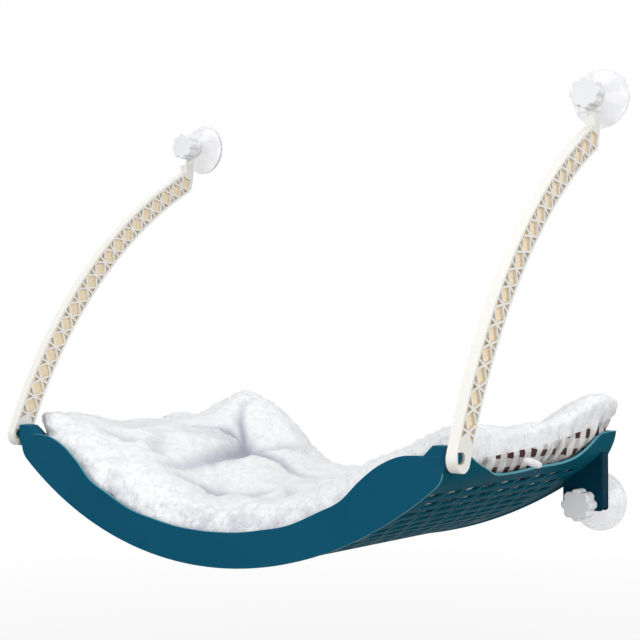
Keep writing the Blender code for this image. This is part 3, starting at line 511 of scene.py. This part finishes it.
def soften(bm, width, segments=2, angle=SHARP_ANGLE):
    """Round the crisp edges of a closed mesh."""
    bm.normal_update()
    crisp = [edge for edge in bm.edges
             if len(edge.link_faces) == 2 and edge.calc_face_angle(0.0) > math.radians(angle)]
    bmesh.ops.bevel(bm, geom=crisp, offset=width, segments=segments, profile=0.5, affect="EDGES",
                    material=-1, clamp_overlap=True)


def smooth_curve(points, steps):
    """Points on a smooth curve through the given ones."""
    ends = [points[0], *points, points[-1]]
    curve = []
    for before, start, end, after in zip(ends, ends[1:], ends[2:], ends[3:]):
        for step in range(steps):
            t = step / steps
            curve.append(tuple(
                (2 * b + (c - a) * t + (2 * a - 5 * b + 4 * c - d) * t ** 2
                 + (3 * b - a - 3 * c + d) * t ** 3) / 2
                for a, b, c, d in zip(before, start, end, after)))
    return [*curve, tuple(points[-1])]


def read_curve(curve, place):
    """Height of a curve of (place, height) points at one place."""
    for (a, b), (c, d) in zip(curve, curve[1:]):
        if a <= place <= c:
            return b + (d - b) * (place - a) / (c - a)
    return curve[0][1] if place < curve[0][0] else curve[-1][1]


def held(value, low=0.0, high=1.0):
    """A value kept between two others."""
    return max(low, min(high, value))


def mirrored(bm, side):
    """Turn a right-hand mesh into the left one where side is -1."""
    if side < 0:
        bmesh.ops.scale(bm, vec=(-1, 1, 1), verts=bm.verts)
        bmesh.ops.reverse_faces(bm, faces=bm.faces)
    return bm


def only(kind, items):
    """The items of one kind among what an operator gives back."""
    return [item for item in items if isinstance(item, kind)]


def arc(centre, radius, start, end, steps):
    """Points of an arc about (X, Z), from a start to an end angle in degrees."""
    turns = [math.radians(start + (end - start) * step / steps) for step in range(steps + 1)]
    return [(centre[0] + radius * math.cos(turn), centre[1] + radius * math.sin(turn)) for turn in turns]


def plate(outline, depth, start):
    """An outline of (X, Z) points, lifted along Y by depth from start."""
    bm = bmesh.new()
    face = bm.faces.new([bm.verts.new((x, start, z)) for x, z in outline])
    lifted = bmesh.ops.extrude_face_region(bm, geom=[face])["geom"]
    bmesh.ops.translate(bm, vec=(0, depth, 0), verts=only(bmesh.types.BMVert, lifted))
    bmesh.ops.recalc_face_normals(bm, faces=bm.faces)
    return bm


def spun(points, axis, steps):
    """A solid of revolution about an axis through the origin, from the points of its profile."""
    bm = bmesh.new()
    verts = [bm.verts.new(point) for point in points]
    edges = [bm.edges.new(pair) for pair in zip(verts, verts[1:])]
    bmesh.ops.spin(bm, geom=[*verts, *edges], cent=(0, 0, 0), axis=axis, angle=2 * math.pi, steps=steps,
                   use_merge=True)
    bmesh.ops.remove_doubles(bm, verts=bm.verts, dist=SPUN_WELD)
    bmesh.ops.recalc_face_normals(bm, faces=bm.faces)
    return bm


def joined(*meshes):
    """Several closed bmeshes in one."""
    whole = bmesh.new()
    for bm in meshes:
        scratch = bpy.data.meshes.new("scratch")
        bm.to_mesh(scratch)
        bm.free()
        whole.from_mesh(scratch)
        bpy.data.meshes.remove(scratch)
    return whole


# Tray

def radius_at(y):
    return FRONT_RADIUS + (REAR_RADIUS - FRONT_RADIUS) * (y - SHELL_FRONT) / SHELL_DEPTH


def section(angle, radius, corner=SIDE_CORNER):
    """The trough's outer section at an angle from straight down: (X, Z), lowest point at zero."""
    turn = math.radians(angle)
    if abs(angle) <= SIDE_ANGLE:
        return radius * math.sin(turn), radius * (1 - math.cos(turn))
    side = math.radians(math.copysign(SIDE_ANGLE, angle))
    middle = (radius - corner) * math.sin(side), radius - (radius - corner) * math.cos(side)
    return middle[0] + corner * math.sin(turn), middle[1] - corner * math.cos(turn)


RIM = smooth_curve([(SHELL_FRONT + SHELL_DEPTH * along, PIN_HEIGHT + SIDE_TOP - RIM_DIP * down)
                    for along, down in RIM_SHARES], CURVE_STEPS)


def side_point(y, share):
    """A point of the right side: the last row of slots at share 0, the rim at share 1."""
    radius = radius_at(y)
    trough = math.radians(SIDE_ANGLE - SLOT_END) * radius
    bend = math.radians(90 - SIDE_ANGLE) * SIDE_CORNER
    low, high = section(SIDE_ANGLE, radius)[1], section(90, radius)[1]
    rim = read_curve(RIM, y) - TROUGH_BOTTOM
    if rim < low:
        length = (math.acos(1 - rim / radius) - math.radians(SLOT_END)) * radius
    elif rim < high:
        centre = radius - (radius - SIDE_CORNER) * math.cos(math.radians(SIDE_ANGLE))
        length = trough + (math.acos((centre - rim) / SIDE_CORNER) - math.radians(SIDE_ANGLE)) * SIDE_CORNER
    else:
        length = trough + bend + rim - high
    along = length * share
    if along < trough:
        x, z = section(SLOT_END + math.degrees(along / radius), radius)
    elif along < trough + bend:
        x, z = section(SIDE_ANGLE + math.degrees((along - trough) / SIDE_CORNER), radius)
    else:
        x, z = section(90, radius)[0], high + along - trough - bend
    return x + RIM_FLARE * share ** 6, z


def round_slot(across, along):
    """A corner-rounded place in a slot for a place on its square, both from -1 to 1; along is in metres."""
    half_width = math.radians(SLOT_ANGLE * SLOT_WIDTH_SHARE / 2) * (FRONT_RADIUS + REAR_RADIUS) / 2
    half_length = SLOT_LENGTH / 2
    point = Vector((across * half_width, along * half_length))
    core = Vector((half_width - SLOT_CORNER, half_length - SLOT_CORNER))
    nearest = Vector((held(point.x, -core.x, core.x), held(point.y, -core.y, core.y)))
    away = point - nearest
    if away.x and away.y:
        point = nearest + away.normalized() * SLOT_CORNER
    return point.x / half_width, point.y


def trough_sheet():
    """The trough as an open sheet with rounded slots, made flat and then bent."""
    pitch = SLOT_ANGLE / SLOT_COLUMNS
    columns = [-SLOT_END + pitch * step for step in range(SLOT_ROWS * SLOT_COLUMNS + 1)]
    side = [SLOT_END + step for step in range(1, SIDE_COLUMNS + 1)]
    columns = [*[-place for place in reversed(side)], *columns, *side]
    first = SLOT_START - (SLOT_PITCH - SLOT_LENGTH) / 2
    step = SLOT_PITCH / SLOT_LINES
    lines = [first + step * line for line in range(SLOTS_PER_ROW * SLOT_LINES + 1)]
    rest = SHELL_DEPTH - lines[-1]
    start = PANEL_THICK / 2 + PANEL_GROOVE
    behind = [lines[-1] + rest * part / BACK_LINES for part in range(1, BACK_LINES)]
    lines = [start, *lines, *behind, SHELL_DEPTH]
    bm = bmesh.new()
    edge = bm.verts.layers.float.new("edge")
    bmesh.ops.create_grid(bm, x_segments=len(columns) - 1, y_segments=len(lines) - 1, size=1)
    wide, deep = len(columns) - 1, len(lines) - 1

    def cell(co):
        return (co.x + 1) / 2 * wide, (co.y + 1) / 2 * deep

    tiles = {}
    for face in bm.faces:
        column, line = cell(face.calc_center_median())
        row = math.floor((column - len(side)) / SLOT_COLUMNS)
        line = math.floor(line) - 1 - (row % 2) * SLOT_LINES // 2
        slot = line // SLOT_LINES
        if 0 <= row < SLOT_ROWS and 0 <= slot < SLOTS_PER_ROW - row % 2:
            tiles.setdefault((row, slot), []).append(face)
    spans = []
    for (row, slot), faces in tiles.items():
        low = len(side) + row * SLOT_COLUMNS
        start = 1 + slot * SLOT_LINES + (row % 2) * SLOT_LINES // 2
        tile = bmesh.ops.dissolve_faces(bm, faces=faces)["region"]
        spans.append((tile[0], low, start))
    for tile, low, start in spans:
        rim = [cell(vert.co) for vert in tile.verts]
        bmesh.ops.inset_individual(bm, faces=[tile], thickness=SLOT_INSET)
        middle = columns[low] + SLOT_ANGLE / 2, lines[start] + SLOT_PITCH / 2
        for vert in tile.verts:
            column, line = cell(vert.co)
            column, line = min(rim, key=lambda spot: (spot[0] - column) ** 2 + (spot[1] - line) ** 2)
            across, along = round_slot((column - low) / SLOT_COLUMNS * 2 - 1,
                                       (line - start) / SLOT_LINES * 2 - 1)
            vert.co.z = 1.0
            vert.co.x = middle[0] + across * SLOT_ANGLE * SLOT_WIDTH_SHARE / 2
            vert.co.y = middle[1] + along
    bmesh.ops.delete(bm, geom=[tile for tile, _, _ in spans], context="FACES")
    for vert in bm.verts:
        if vert.co.z:
            angle, depth = vert.co.x, vert.co.y
        else:
            column, line = cell(vert.co)
            angle, depth = columns[round(column)], lines[round(line)]
        y = SHELL_FRONT + depth
        if abs(angle) < SLOT_END + EDGE_ROUND:
            x, z = section(angle, radius_at(y))
        else:
            share = (abs(angle) - SLOT_END) / SIDE_COLUMNS
            x, z = side_point(y, share)
            x = math.copysign(x, angle)
            # marks the rim's last column for a painted highlight along the rim
            vert[edge] = max(0.0, share * SIDE_COLUMNS - SIDE_COLUMNS + 1)
        vert.co = (x, y, TROUGH_BOTTOM + z)
    return bm


def panel_outline(radius, corner, top_middle, top_end):
    """A crescent end wall, counter-clockwise from its left end."""
    turns = [SIDE_ANGLE * step / PANEL_STEPS for step in range(-PANEL_STEPS, PANEL_STEPS + 1)]
    bend = [SIDE_ANGLE + (90 - SIDE_ANGLE) * step / PANEL_CORNER_STEPS
            for step in range(1, PANEL_CORNER_STEPS + 1)]
    turns = [*[-turn for turn in reversed(bend)], *turns, *bend]
    lower = [section(turn, radius + PANEL_LIP, corner) for turn in turns]
    lower = [(x, TROUGH_BOTTOM - PANEL_LIP + z) for x, z in lower]
    half = lower[-1][0]
    rise = top_end - top_middle
    right = smooth_curve([(half * across, PIN_HEIGHT + top_middle + rise * up)
                          for across, up in PANEL_TOP_SHARES], CURVE_STEPS)
    return [*lower, *reversed(right), *[(-x, z) for x, z in right[1:]]]


def bracket(side):
    """A lower cup's bracket: two forked plates and two cheeks under the trough."""
    low_y, high_y = BRACKET_BACK - BRACKET_DEPTH, BRACKET_BACK
    axis, wall, corner = LOWER_SPREAD, BRACKET_WALL, BRACKET_CORNER
    radius = radius_at((low_y + high_y) / 2)
    inner, outer = axis - BRACKET_WIDTH / 2, axis + BRACKET_WIDTH / 2
    bottom = -BRACKET_BELOW
    under = [section(SLOT_END + (90 - SLOT_END) * step / BRACKET_UNDER_STEPS - BRACKET_UNDER_START, radius)
             for step in range(BRACKET_UNDER_STEPS)]
    under = [(x, TROUGH_BOTTOM + z + WALL / 2) for x, z in under]
    top = [point for point in under if inner < point[0] < outer]
    top = [(inner, read_curve(under, inner)), *top, (outer, read_curve(under, outer))]
    outline = [*arc((inner + corner, bottom + corner), corner, 180, 270, CORNER_STEPS),
               (axis - STUD_BORE, bottom), *arc((axis, 0), STUD_BORE, 180, 0, FORK_STEPS),
               (axis + STUD_BORE, bottom),
               *arc((outer - corner, bottom + corner), corner, 270, 360, CORNER_STEPS), *reversed(top)]
    plates = [plate(outline, wall, start) for start in (low_y, high_y - wall)]
    for start in (inner, outer - wall):
        end = start + wall
        cheek = [(start, bottom + corner), (end, bottom + corner), (end, read_curve(under, end)),
                 (start, read_curve(under, start))]
        plates.append(plate(cheek, high_y - low_y - wall, low_y + wall / 2))
    return mirrored(joined(*plates), side)


def ear(side):
    """The lug behind each end of the front panel, which carries a pivot pin."""
    outer = ARM_MIDDLE - ARM_HALF - EAR_GAP
    inner = outer - EAR_WIDTH
    low = PIN_HEIGHT - SIDE_CORNER / 2
    outline = [(inner - EAR_CHAMFER, low), (outer - EAR_CHAMFER, low), (outer, low + 2 * EAR_CHAMFER),
               (outer, EAR_TOP), (inner + EAR_CHAMFER, EAR_TOP),
               (inner - EAR_CHAMFER, EAR_TOP - 2 * EAR_CHAMFER)]
    return mirrored(plate(outline, EAR_DEPTH, TRAY_FRONT + PANEL_THICK / 8), side)


def make_tray(plastic, slotted, shaded):
    """The slotted trough, its two end walls, the ears and the brackets of the lower cups."""
    bm = trough_sheet()
    bm.normal_update()
    lowest = min(bm.faces, key=lambda face: face.calc_center_median().z)
    if lowest.normal.z > 0:
        bmesh.ops.reverse_faces(bm, faces=bm.faces)
    bmesh.ops.solidify(bm, geom=bm.faces[:], thickness=WALL)
    bm.normal_update()
    soften(bm, EDGE_ROUND, 1, TROUGH_SHARP_ANGLE)
    new_piece("tray_trough", bm, slotted, "tray", "tray_plastic", "tray")
    for name, radius, corner, middle, end, start in (
            ("tray_front_panel", FRONT_RADIUS, PANEL_CORNER, PANEL_TOP_MIDDLE, PANEL_TOP_END, TRAY_FRONT),
            ("tray_rear_wall", REAR_RADIUS - PANEL_LIP, PANEL_CORNER, REAR_TOP_MIDDLE, SIDE_TOP,
             TRAY_BACK - PANEL_THICK)):
        bm = plate(panel_outline(radius, corner, middle, end), PANEL_THICK, start)
        soften(bm, PANEL_THICK / 4, 3)
        # marks the rounded edges round each end wall for a painted highlight
        edge = bm.verts.layers.float.new("edge")
        for vert in bm.verts:
            into = min(vert.co.y - start, start + PANEL_THICK - vert.co.y)
            vert[edge] = 1.0 if into > PANEL_THICK / 20 else 0.0
        new_piece(name, bm, plastic, "tray", "tray_plastic")
    for name, side in SIDES.items():
        # the brackets take the darker copy of the plastic, which is painted shade
        for kind, bm, finish in (("ear_", ear(side), plastic), ("cup_bracket_", bracket(side), shaded)):
            soften(bm, EDGE_ROUND, 3)
            new_piece(kind + name, bm, finish, "tray", "tray_plastic")


def dressed_copy(node, material, body, slot, finish=None):
    """A CAD node's solid, its triangles joined into flat faces and its edges rounded, in its place."""
    bm = bmesh.new()
    bm.from_mesh(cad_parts[node].data)
    bmesh.ops.remove_doubles(bm, verts=bm.verts, dist=NODE_WELD)
    bmesh.ops.dissolve_limit(bm, angle_limit=math.radians(NODE_FLAT_ANGLE), verts=bm.verts, edges=bm.edges)
    soften(bm, EDGE_ROUND)
    if finish:
        finish(bm)
    return new_piece(node + "_moulding", bm, material, body, slot, node)


def mark_cells(bm):
    """Note for the paint's painted shade how deep an arm's cells go, and which faces are its ribs', which
    stay pale.
    """
    recess = bm.verts.layers.float.new("recess")
    rib = bm.verts.layers.float.new("rib")
    for vert in bm.verts:
        out = abs(abs(vert.co.x) - ARM_MIDDLE)
        vert[recess] = 1.0 - held((out - WEB_HALF) / (ARM_HALF - EDGE_ROUND - WEB_HALF))
        vert[rib] = float(out > ARM_HALF - EDGE_ROUND / 4)


def make_pin(side, plastic):
    """A pivot pin: its shank in the ear, its dished head in the arm's recess."""
    low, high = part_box("pivot_pin_" + side)
    shank = high.x - low.x - PIN_HEAD
    profile = [(0.0, 0.0), (PIN_RADIUS - EDGE_ROUND, 0.0), (PIN_RADIUS, EDGE_ROUND), (PIN_RADIUS, shank),
               (PIN_HEAD_RADIUS, shank), (PIN_HEAD_RADIUS, shank + PIN_HEAD - EDGE_ROUND),
               (PIN_HEAD_RADIUS - EDGE_ROUND, shank + PIN_HEAD), (PIN_RADIUS, shank + PIN_HEAD),
               (0.0, shank + PIN_HEAD / 2)]
    bm = spun([(along, radius, 0) for radius, along in profile], (1, 0, 0), PIN_STEPS)
    if SIDES[side] < 0:
        bmesh.ops.rotate(bm, matrix=Matrix.Rotation(math.pi, 3, "Z"), verts=bm.verts)
    start = low.x if SIDES[side] > 0 else high.x
    bmesh.ops.translate(bm, vec=(start, -PIN_REACH, PIN_HEIGHT), verts=bm.verts)
    new_piece("dished_pin_" + side, bm, plastic, "tray", "tray_plastic", "pivot_pin_" + side)


def make_cup(place, vinyl):
    """A clear cup pressed flat on the glass: its wall spun about the stud's axis."""
    low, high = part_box("suction_cup_" + place)
    centre = Vector(((low.x + high.x) / 2, 0, (low.z + high.z) / 2))
    bm = spun([(radius, -along, 0) for radius, along in CUP_PROFILE], (0, 1, 0), CUP_STEPS)
    bmesh.ops.translate(bm, vec=centre, verts=bm.verts)
    new_piece("clear_cup_" + place, bm, vinyl, "cup_" + place, "cup_vinyl", "suction_cup_" + place)


def make_knob(place, plastic):
    """A scalloped knob with its blind hole and a softly rounded face."""
    low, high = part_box("knob_" + place)
    centre = Vector(((low.x + high.x) / 2, high.y, (low.z + high.z) / 2))
    to_room = Matrix.Rotation(math.radians(90), 4, "X")
    bm = bmesh.new()
    crest = bmesh.ops.create_circle(bm, segments=KNOB_POINTS, radius=KNOB_RADIUS)["verts"]
    for vert in crest:
        turn = math.atan2(vert.co.x, vert.co.y)
        dent = (1 - math.cos(KNOB_LOBES * turn)) / 2
        vert.co *= 1 - 2 * KNOB_WAVE / KNOB_RADIUS * dent ** KNOB_CREST
    outer = bm.edges[:]
    hole = bmesh.ops.create_circle(bm, segments=KNOB_POINTS, radius=KNOB_HOLE)["verts"]
    inner = [edge for edge in bm.edges if edge.verts[0] in hole]
    bmesh.ops.bridge_loops(bm, edges=[*outer, *inner])
    for loop, depth in ((outer, KNOB_LENGTH), (inner, KNOB_DEPTH)):
        raised = bmesh.ops.extrude_edge_only(bm, edges=loop)["geom"]
        bmesh.ops.translate(bm, vec=(0, 0, depth), verts=only(bmesh.types.BMVert, raised))
        bmesh.ops.edgeloop_fill(bm, edges=only(bmesh.types.BMEdge, raised))
    bmesh.ops.recalc_face_normals(bm, faces=bm.faces)
    face = max(bm.faces, key=lambda spot: spot.calc_center_median().z)
    bmesh.ops.bevel(bm, geom=face.edges[:], offset=KNOB_CHAMFER, segments=KNOB_CHAMFER_STEPS, profile=0.5,
                    affect="EDGES", material=-1)
    bmesh.ops.transform(bm, matrix=Matrix.Translation(centre) @ to_room, verts=bm.verts)
    new_piece("scalloped_knob_" + place, bm, plastic, "knob_" + place, "knob_plastic", "knob_" + place)


# Cushion

FRONT_THICKNESS = smooth_curve(PAD_FRONT_SHARES, PAD_CURVE_STEPS)
REAR_THICKNESS = smooth_curve(PAD_REAR_SHARES, PAD_CURVE_STEPS)


def inside_at(y, z):
    """Half the trough's inside width at a height."""
    radius = radius_at(y) - WALL
    corner = SIDE_CORNER - WALL
    height = z - TROUGH_BOTTOM - WALL
    side = math.radians(SIDE_ANGLE)
    if height <= radius * (1 - math.cos(side)):
        return math.sqrt(radius ** 2 - (radius - max(height, 0)) ** 2)
    below = max(0.0, radius - (radius - corner) * math.cos(side) - height)
    return (radius - corner) * math.sin(side) + math.sqrt(corner ** 2 - below ** 2)


def pad_point(u, v, upper):
    """The cushion's surface: u from side to side, v from front to back, each from -1 to 1."""
    back, side = (v + 1) / 2, math.copysign(1, u)
    front_y = TRAY_FRONT + PANEL_THICK + PAD_MARGIN
    y = front_y + (TRAY_BACK - PANEL_THICK - PAD_BACK - front_y) * back
    length, part = PAD_OPENING_SHARES
    opening = held((back - PAD_EARS_SHARE) / length)
    front_half = PAD_FRONT_HALF[side]
    wide = front_half + (PAD_REAR_HALF - front_half) * (part * opening + (1 - part) * back)
    x = u * wide * (1 - PAD_SIDE_SHARE * abs(v) ** PAD_SIDE_ROUND)
    inner = radius_at(y) - WALL - PAD_SEAT
    rest = TROUGH_BOTTOM + WALL + PAD_SEAT + inner - math.sqrt(inner ** 2 - x ** 2)
    edge = math.sqrt(max(0.0, (1 - abs(u) ** PAD_ROUND) * (1 - abs(v) ** PAD_ROUND)))
    seam = PAD_SEAM + (PAD_SEAM_RIGHT + PAD_SEAM_RISE * back ** 3 - PAD_SEAM) * max(0.0, u) ** 2
    seam += (PAD_SEAM_LEFT - PAD_SEAM) * min(0.0, u) ** 2
    blend = back ** PAD_BLEND
    thick = PAD_THICK * (read_curve(FRONT_THICKNESS, u) * (1 - blend) + read_curve(REAR_THICKNESS, u) * blend)
    thick -= PAD_SWELL * PAD_SWELL_SHARE
    for (lift_x, lift_y), (half_x, half_y), lift in PAD_LIFTS:
        thick += lift * math.exp(-((x - lift_x) / half_x) ** 2 - ((y - lift_y) / half_y) ** 2)
    for tuft_x, tuft_y in TUFTS:
        thick -= TUFT_DEPTH * math.exp(-((x - tuft_x) ** 2 + (y - tuft_y) ** 2) / TUFT_SIZE ** 2)
    thick = max(thick, seam + PAD_LEAST)
    z = rest + seam + (thick - seam) * edge if upper else rest + seam * (1 - edge)
    hold = read_curve(RIM, y) + PAD_RIM_RISE
    if z < hold:
        widest = inside_at(y, z) - PAD_MARGIN
        x = held(x, -widest, widest)
    over = held((z - EAR_TOP + 2 * EAR_CHAMFER) / PAD_OVER_RISE)
    over *= max(0.0, 1 - back / PAD_OVER_SHARE)
    x += side * PAD_EARS_OVER[side] * over * abs(u) ** PAD_SIDE_ROUND
    if upper and z > hold:
        x += side * PAD_BULGE[side] * math.sin(math.pi * edge) * back ** 2 * abs(u) ** PAD_SIDE_ROUND
    flat_x = inner * math.asin(held(x / inner, -1.0))
    return Vector((x, y, z)), Vector((flat_x + math.copysign(z - rest, x), y + CHECK_LEAN * abs(x), 0))


def crease_at(x, y):
    """How deep the plush is drawn in at a place, by its folds and tufts."""
    place = Vector((x, y))
    drop = 0.0
    for points, depth, half in CREASES:
        if min(abs(x - a) + abs(y - b) for a, b in points) > CREASE_REACH:
            continue
        count = len(points) - 1
        for number, (start, end) in enumerate(zip(points, points[1:])):
            start, line = Vector(start), Vector(end) - Vector(start)
            share = held((place - start).dot(line) / line.length_squared)
            away = (place - start - line * share).length
            fade = 1 - ((number + share) / count) ** CREASE_FADE
            drop = max(drop, depth * fade * math.exp(-(away / half) ** 2))
    for spot in TUFTS:
        drop = max(drop, DIMPLE_DEPTH * math.exp(-((place - Vector(spot)).length / DIMPLE_SIZE) ** 2))
    return drop


def filled(piece, free):
    """Let the filling press on the cushion: cloth under pressure, held where free is 0."""
    mesh = piece.data
    rest = [vert.co.copy() for vert in mesh.vertices]
    still = piece.vertex_groups.new(name="held")
    for number, share in enumerate(free):
        still.add([number], 1.0 if share == 0 else 0.0, "REPLACE")
    cloth = piece.modifiers.new("filling", "CLOTH")
    cloth.settings.use_pressure = True
    cloth.settings.uniform_pressure_force = PAD_PRESSURE
    cloth.settings.effector_weights.gravity = 0
    cloth.settings.vertex_group_mass = still.name
    scene = bpy.context.scene
    for step in range(1, PAD_FRAMES + 1):
        scene.frame_set(step)
    puffed = piece.evaluated_get(bpy.context.evaluated_depsgraph_get()).data
    for vert, start, end, share in zip(mesh.vertices, rest, puffed.vertices, free):
        move = end.co - start
        if move.length > PAD_SWELL * share:
            move *= PAD_SWELL * share / move.length
        vert.co = start + move
    piece.modifiers.remove(cloth)
    piece.vertex_groups.clear()
    scene.frame_set(1)


def pile(co):
    """Height of the tousled pile at a place."""
    return sum(height * noise.noise(co * scale) for scale, height in PILE_HEIGHTS)


def make_cushion(top_cloth, back_cloth):
    """The loose pad: plush above its seam, checked cotton below, quilted at four tufts."""
    bm = bmesh.new()
    flat = bm.verts.layers.float_vector.new("flat")
    top = bm.verts.layers.float.new("top")
    front = bm.verts.layers.float.new("front")
    bmesh.ops.create_grid(bm, x_segments=PAD_COLUMNS, y_segments=PAD_ROWS, size=1)
    lifted = bmesh.ops.extrude_face_region(bm, geom=bm.faces[:])["geom"]
    upper = set(only(bmesh.types.BMVert, lifted))
    for face in bm.faces:
        face.material_index = 0 if all(vert in upper for vert in face.verts) else 1
        face.smooth = True
    for vert in bm.verts:
        u, v = ((1 - PAD_SPREAD) * math.sin(place * math.pi / 2) + PAD_SPREAD * place for place in vert.co.xy)
        vert[top] = 1.0 if vert in upper else 0.0
        vert[front] = max(0.0, -v) ** PAD_SIDE_ROUND
        vert.co, vert[flat] = pad_point(u, v, vert in upper)
    bmesh.ops.remove_doubles(bm, verts=bm.verts, dist=PAD_WELD)
    bmesh.ops.recalc_face_normals(bm, faces=bm.faces)
    free = []
    for vert in bm.verts:
        near = min((vert.co.xy - Vector(spot)).length for spot in TUFTS)
        seam = len({face.material_index for face in vert.link_faces}) > 1
        free.append(0.0 if vert[top] < 0.5 or seam or near < TUFT_HOLD else 1.0)
    piece = new_piece("plush_cushion", bm, top_cloth, "tray", "cushion_plush", "cushion", crisp=False)
    piece.data.materials.append(back_cloth)
    filled(piece, free)
    finer = piece.modifiers.new("finer", "SUBSURF")
    finer.levels = finer.render_levels = 1
    piece.data = bpy.data.meshes.new_from_object(piece.evaluated_get(bpy.context.evaluated_depsgraph_get()))
    piece.modifiers.remove(finer)

    bm = bmesh.new()
    bm.from_mesh(piece.data)
    depth = bm.verts.layers.float.new("crease_shade")
    top = bm.verts.layers.float["top"]
    bm.normal_update()
    moves = []
    for vert in bm.verts:
        x, y, z = vert.co
        if vert[top] > 0.5:
            drop = crease_at(x, y) * held(vert.normal.z * 2)
            # painted shade in the plush's creases, darker where they are deeper
            vert[depth] = min(CREASE_DARK, drop / CREASE_FULL)
            moves.append(Vector((0, 0, -drop)) + vert.normal * pile(vert.co))
        else:
            above = held((z - read_curve(RIM, y)) / PLEAT_RISE + PLEAT_START)
            above *= abs(x) > PLEAT_ENDS
            wave = noise.noise(Vector((y, z, x)) * Vector(PLEATS))
            # painted shade in the valleys of the backing's pleats
            vert[depth] = above * max(0.0, -wave) * CREASE_DARK
            moves.append(vert.normal * (wave * PLEAT_HEIGHT * above))
    for vert, move in zip(bm.verts, moves):
        vert.co += move
    bm.to_mesh(piece.data)
    bm.free()


def make_tie(cloth):
    """The end of the cushion's white tie, which lies on the rim."""
    start, end = Vector(TIE_START), Vector(TIE_END)
    bm = bmesh.new()
    bmesh.ops.create_uvsphere(bm, u_segments=TIE_SEGMENTS, v_segments=TIE_RINGS, radius=1)
    aim = (end - start).to_track_quat("Z", "Y").to_matrix().to_4x4()
    for vert in bm.verts:
        along = vert.co.z
        vert.co.xy *= (1 - along ** 2) ** -TIE_BLUNT if abs(along) < 0.999 else 1
        vert.co.xy *= 1 + TIE_LUMPS * noise.noise(vert.co * 1.7)
    bmesh.ops.scale(bm, vec=(TIE_RADIUS, TIE_RADIUS * TIE_FLAT, (end - start).length / 2), verts=bm.verts)
    bmesh.ops.transform(bm, matrix=Matrix.Translation((start + end) / 2) @ aim, verts=bm.verts)
    new_piece("cushion_tie_end", bm, cloth, "tray", "cushion_plush", crisp=False)


# Light, floor and camera

def make_stage():
    """The plain pale floor, the white surroundings, the lamps and the photograph's camera."""
    scene = bpy.context.scene
    scene.view_settings.view_transform = "Standard"
    world = bpy.data.worlds.new("studio")
    scene.world = world
    world.use_nodes = True
    sky = Nodes(world.node_tree)
    sky.tree.nodes.clear()
    soft = sky.node("ShaderNodeBackground", {"Color": SKY_COLOUR, "Strength": SKY_LIGHT})
    white = sky.node("ShaderNodeBackground", {"Color": WHITE, "Strength": 1.0})
    mixed = sky.node("ShaderNodeMixShader", {"Fac": sky.seen(), 1: soft.outputs[0], 2: white.outputs[0]})
    sky.node("ShaderNodeOutputWorld", {"Surface": mixed.outputs[0]})

    paint = Paint("pale_floor", (FLOOR_TONE,) * 3, 0.9)
    glow = paint.node("ShaderNodeEmission", {"Color": WHITE, "Strength": 1.0})
    away = paint.node("ShaderNodeVectorMath", {0: paint.place()}, operation="LENGTH").outputs["Value"]
    share = paint.seen() * paint.ramp(away, *FLOOR_FADE, FLOOR_GLOW, 1.0)
    mixed = paint.node("ShaderNodeMixShader", {"Fac": share, 1: paint.shader.outputs[0], 2: glow.outputs[0]})
    paint.tree.links.new(mixed.outputs[0], paint.tree.nodes["Material Output"].inputs["Surface"])
    bm = bmesh.new()
    bmesh.ops.create_grid(bm, x_segments=1, y_segments=1, size=FLOOR_SIZE)
    bmesh.ops.translate(bm, vec=(0, 0, TRAY_LOW.z - FLOOR_DROP), verts=bm.verts)
    floor = new_object("floor", bm, paint.material)

    middle = (cad_low + cad_high) / 2
    middle.z = PIN_HEIGHT
    for name, place, size, watts in LAMPS:
        lamp = bpy.data.lights.new(name, "AREA")
        lamp.energy = watts
        lamp.size = size
        made = bpy.data.objects.new(name, lamp)
        made.location = place
        made.rotation_euler = (middle - Vector(place)).to_track_quat("-Z", "Y").to_euler()
        scene.collection.objects.link(made)

    camera = bpy.data.objects.new("camera", bpy.data.cameras.new("camera"))
    camera.location = CAMERA_PLACE
    camera.rotation_euler = [math.radians(turn) for turn in CAMERA_TURN]
    camera.data.lens = CAMERA_LENS
    scene.collection.objects.link(camera)
    scene.camera = camera


def main():
    make_stage()
    # the edge colours are painted highlights along the rims and the end walls' rounded edges
    blue = moulded("tray_blue", (0.004, 0.076, 0.134), (0.007, 0.092, 0.156), 0.36, 0.02,
                   edge=(0.12, 0.38, 0.46))
    slotted = moulded("trough_blue", (0.004, 0.080, 0.118), (0.007, 0.096, 0.138), 0.42, 0.005,
                      edge=(0.16, 0.44, 0.52))
    # painted shade: a darker copy of the tray's plastic for the brackets, which lie in shade under the trough
    shaded = moulded("bracket_blue_painted_shade", (0.001, 0.028, 0.052), (0.002, 0.036, 0.064), 0.42, 0.015)
    cream = moulded_arm()
    white = moulded("knob_white", (0.83, 0.83, 0.84), (0.78, 0.78, 0.79), 0.38)
    vinyl = clear_vinyl()
    metal = brass()
    make_tray(blue, slotted, shaded)
    pile_cloth = plush()
    make_cushion(pile_cloth, checked_cloth())
    make_tie(pile_cloth)
    for side in SIDES:
        dressed_copy("arm_" + side, cream, "arm_" + side, "arm_plastic", mark_cells)
        make_pin(side, blue)
    for place in PLACES:
        make_cup(place, vinyl)
        dressed_copy("stud_" + place, white, "cup_" + place, "stud_plastic")
        make_knob(place, white)
        dressed_copy("knob_insert_" + place, metal, "knob_" + place, "insert_brass")


main()
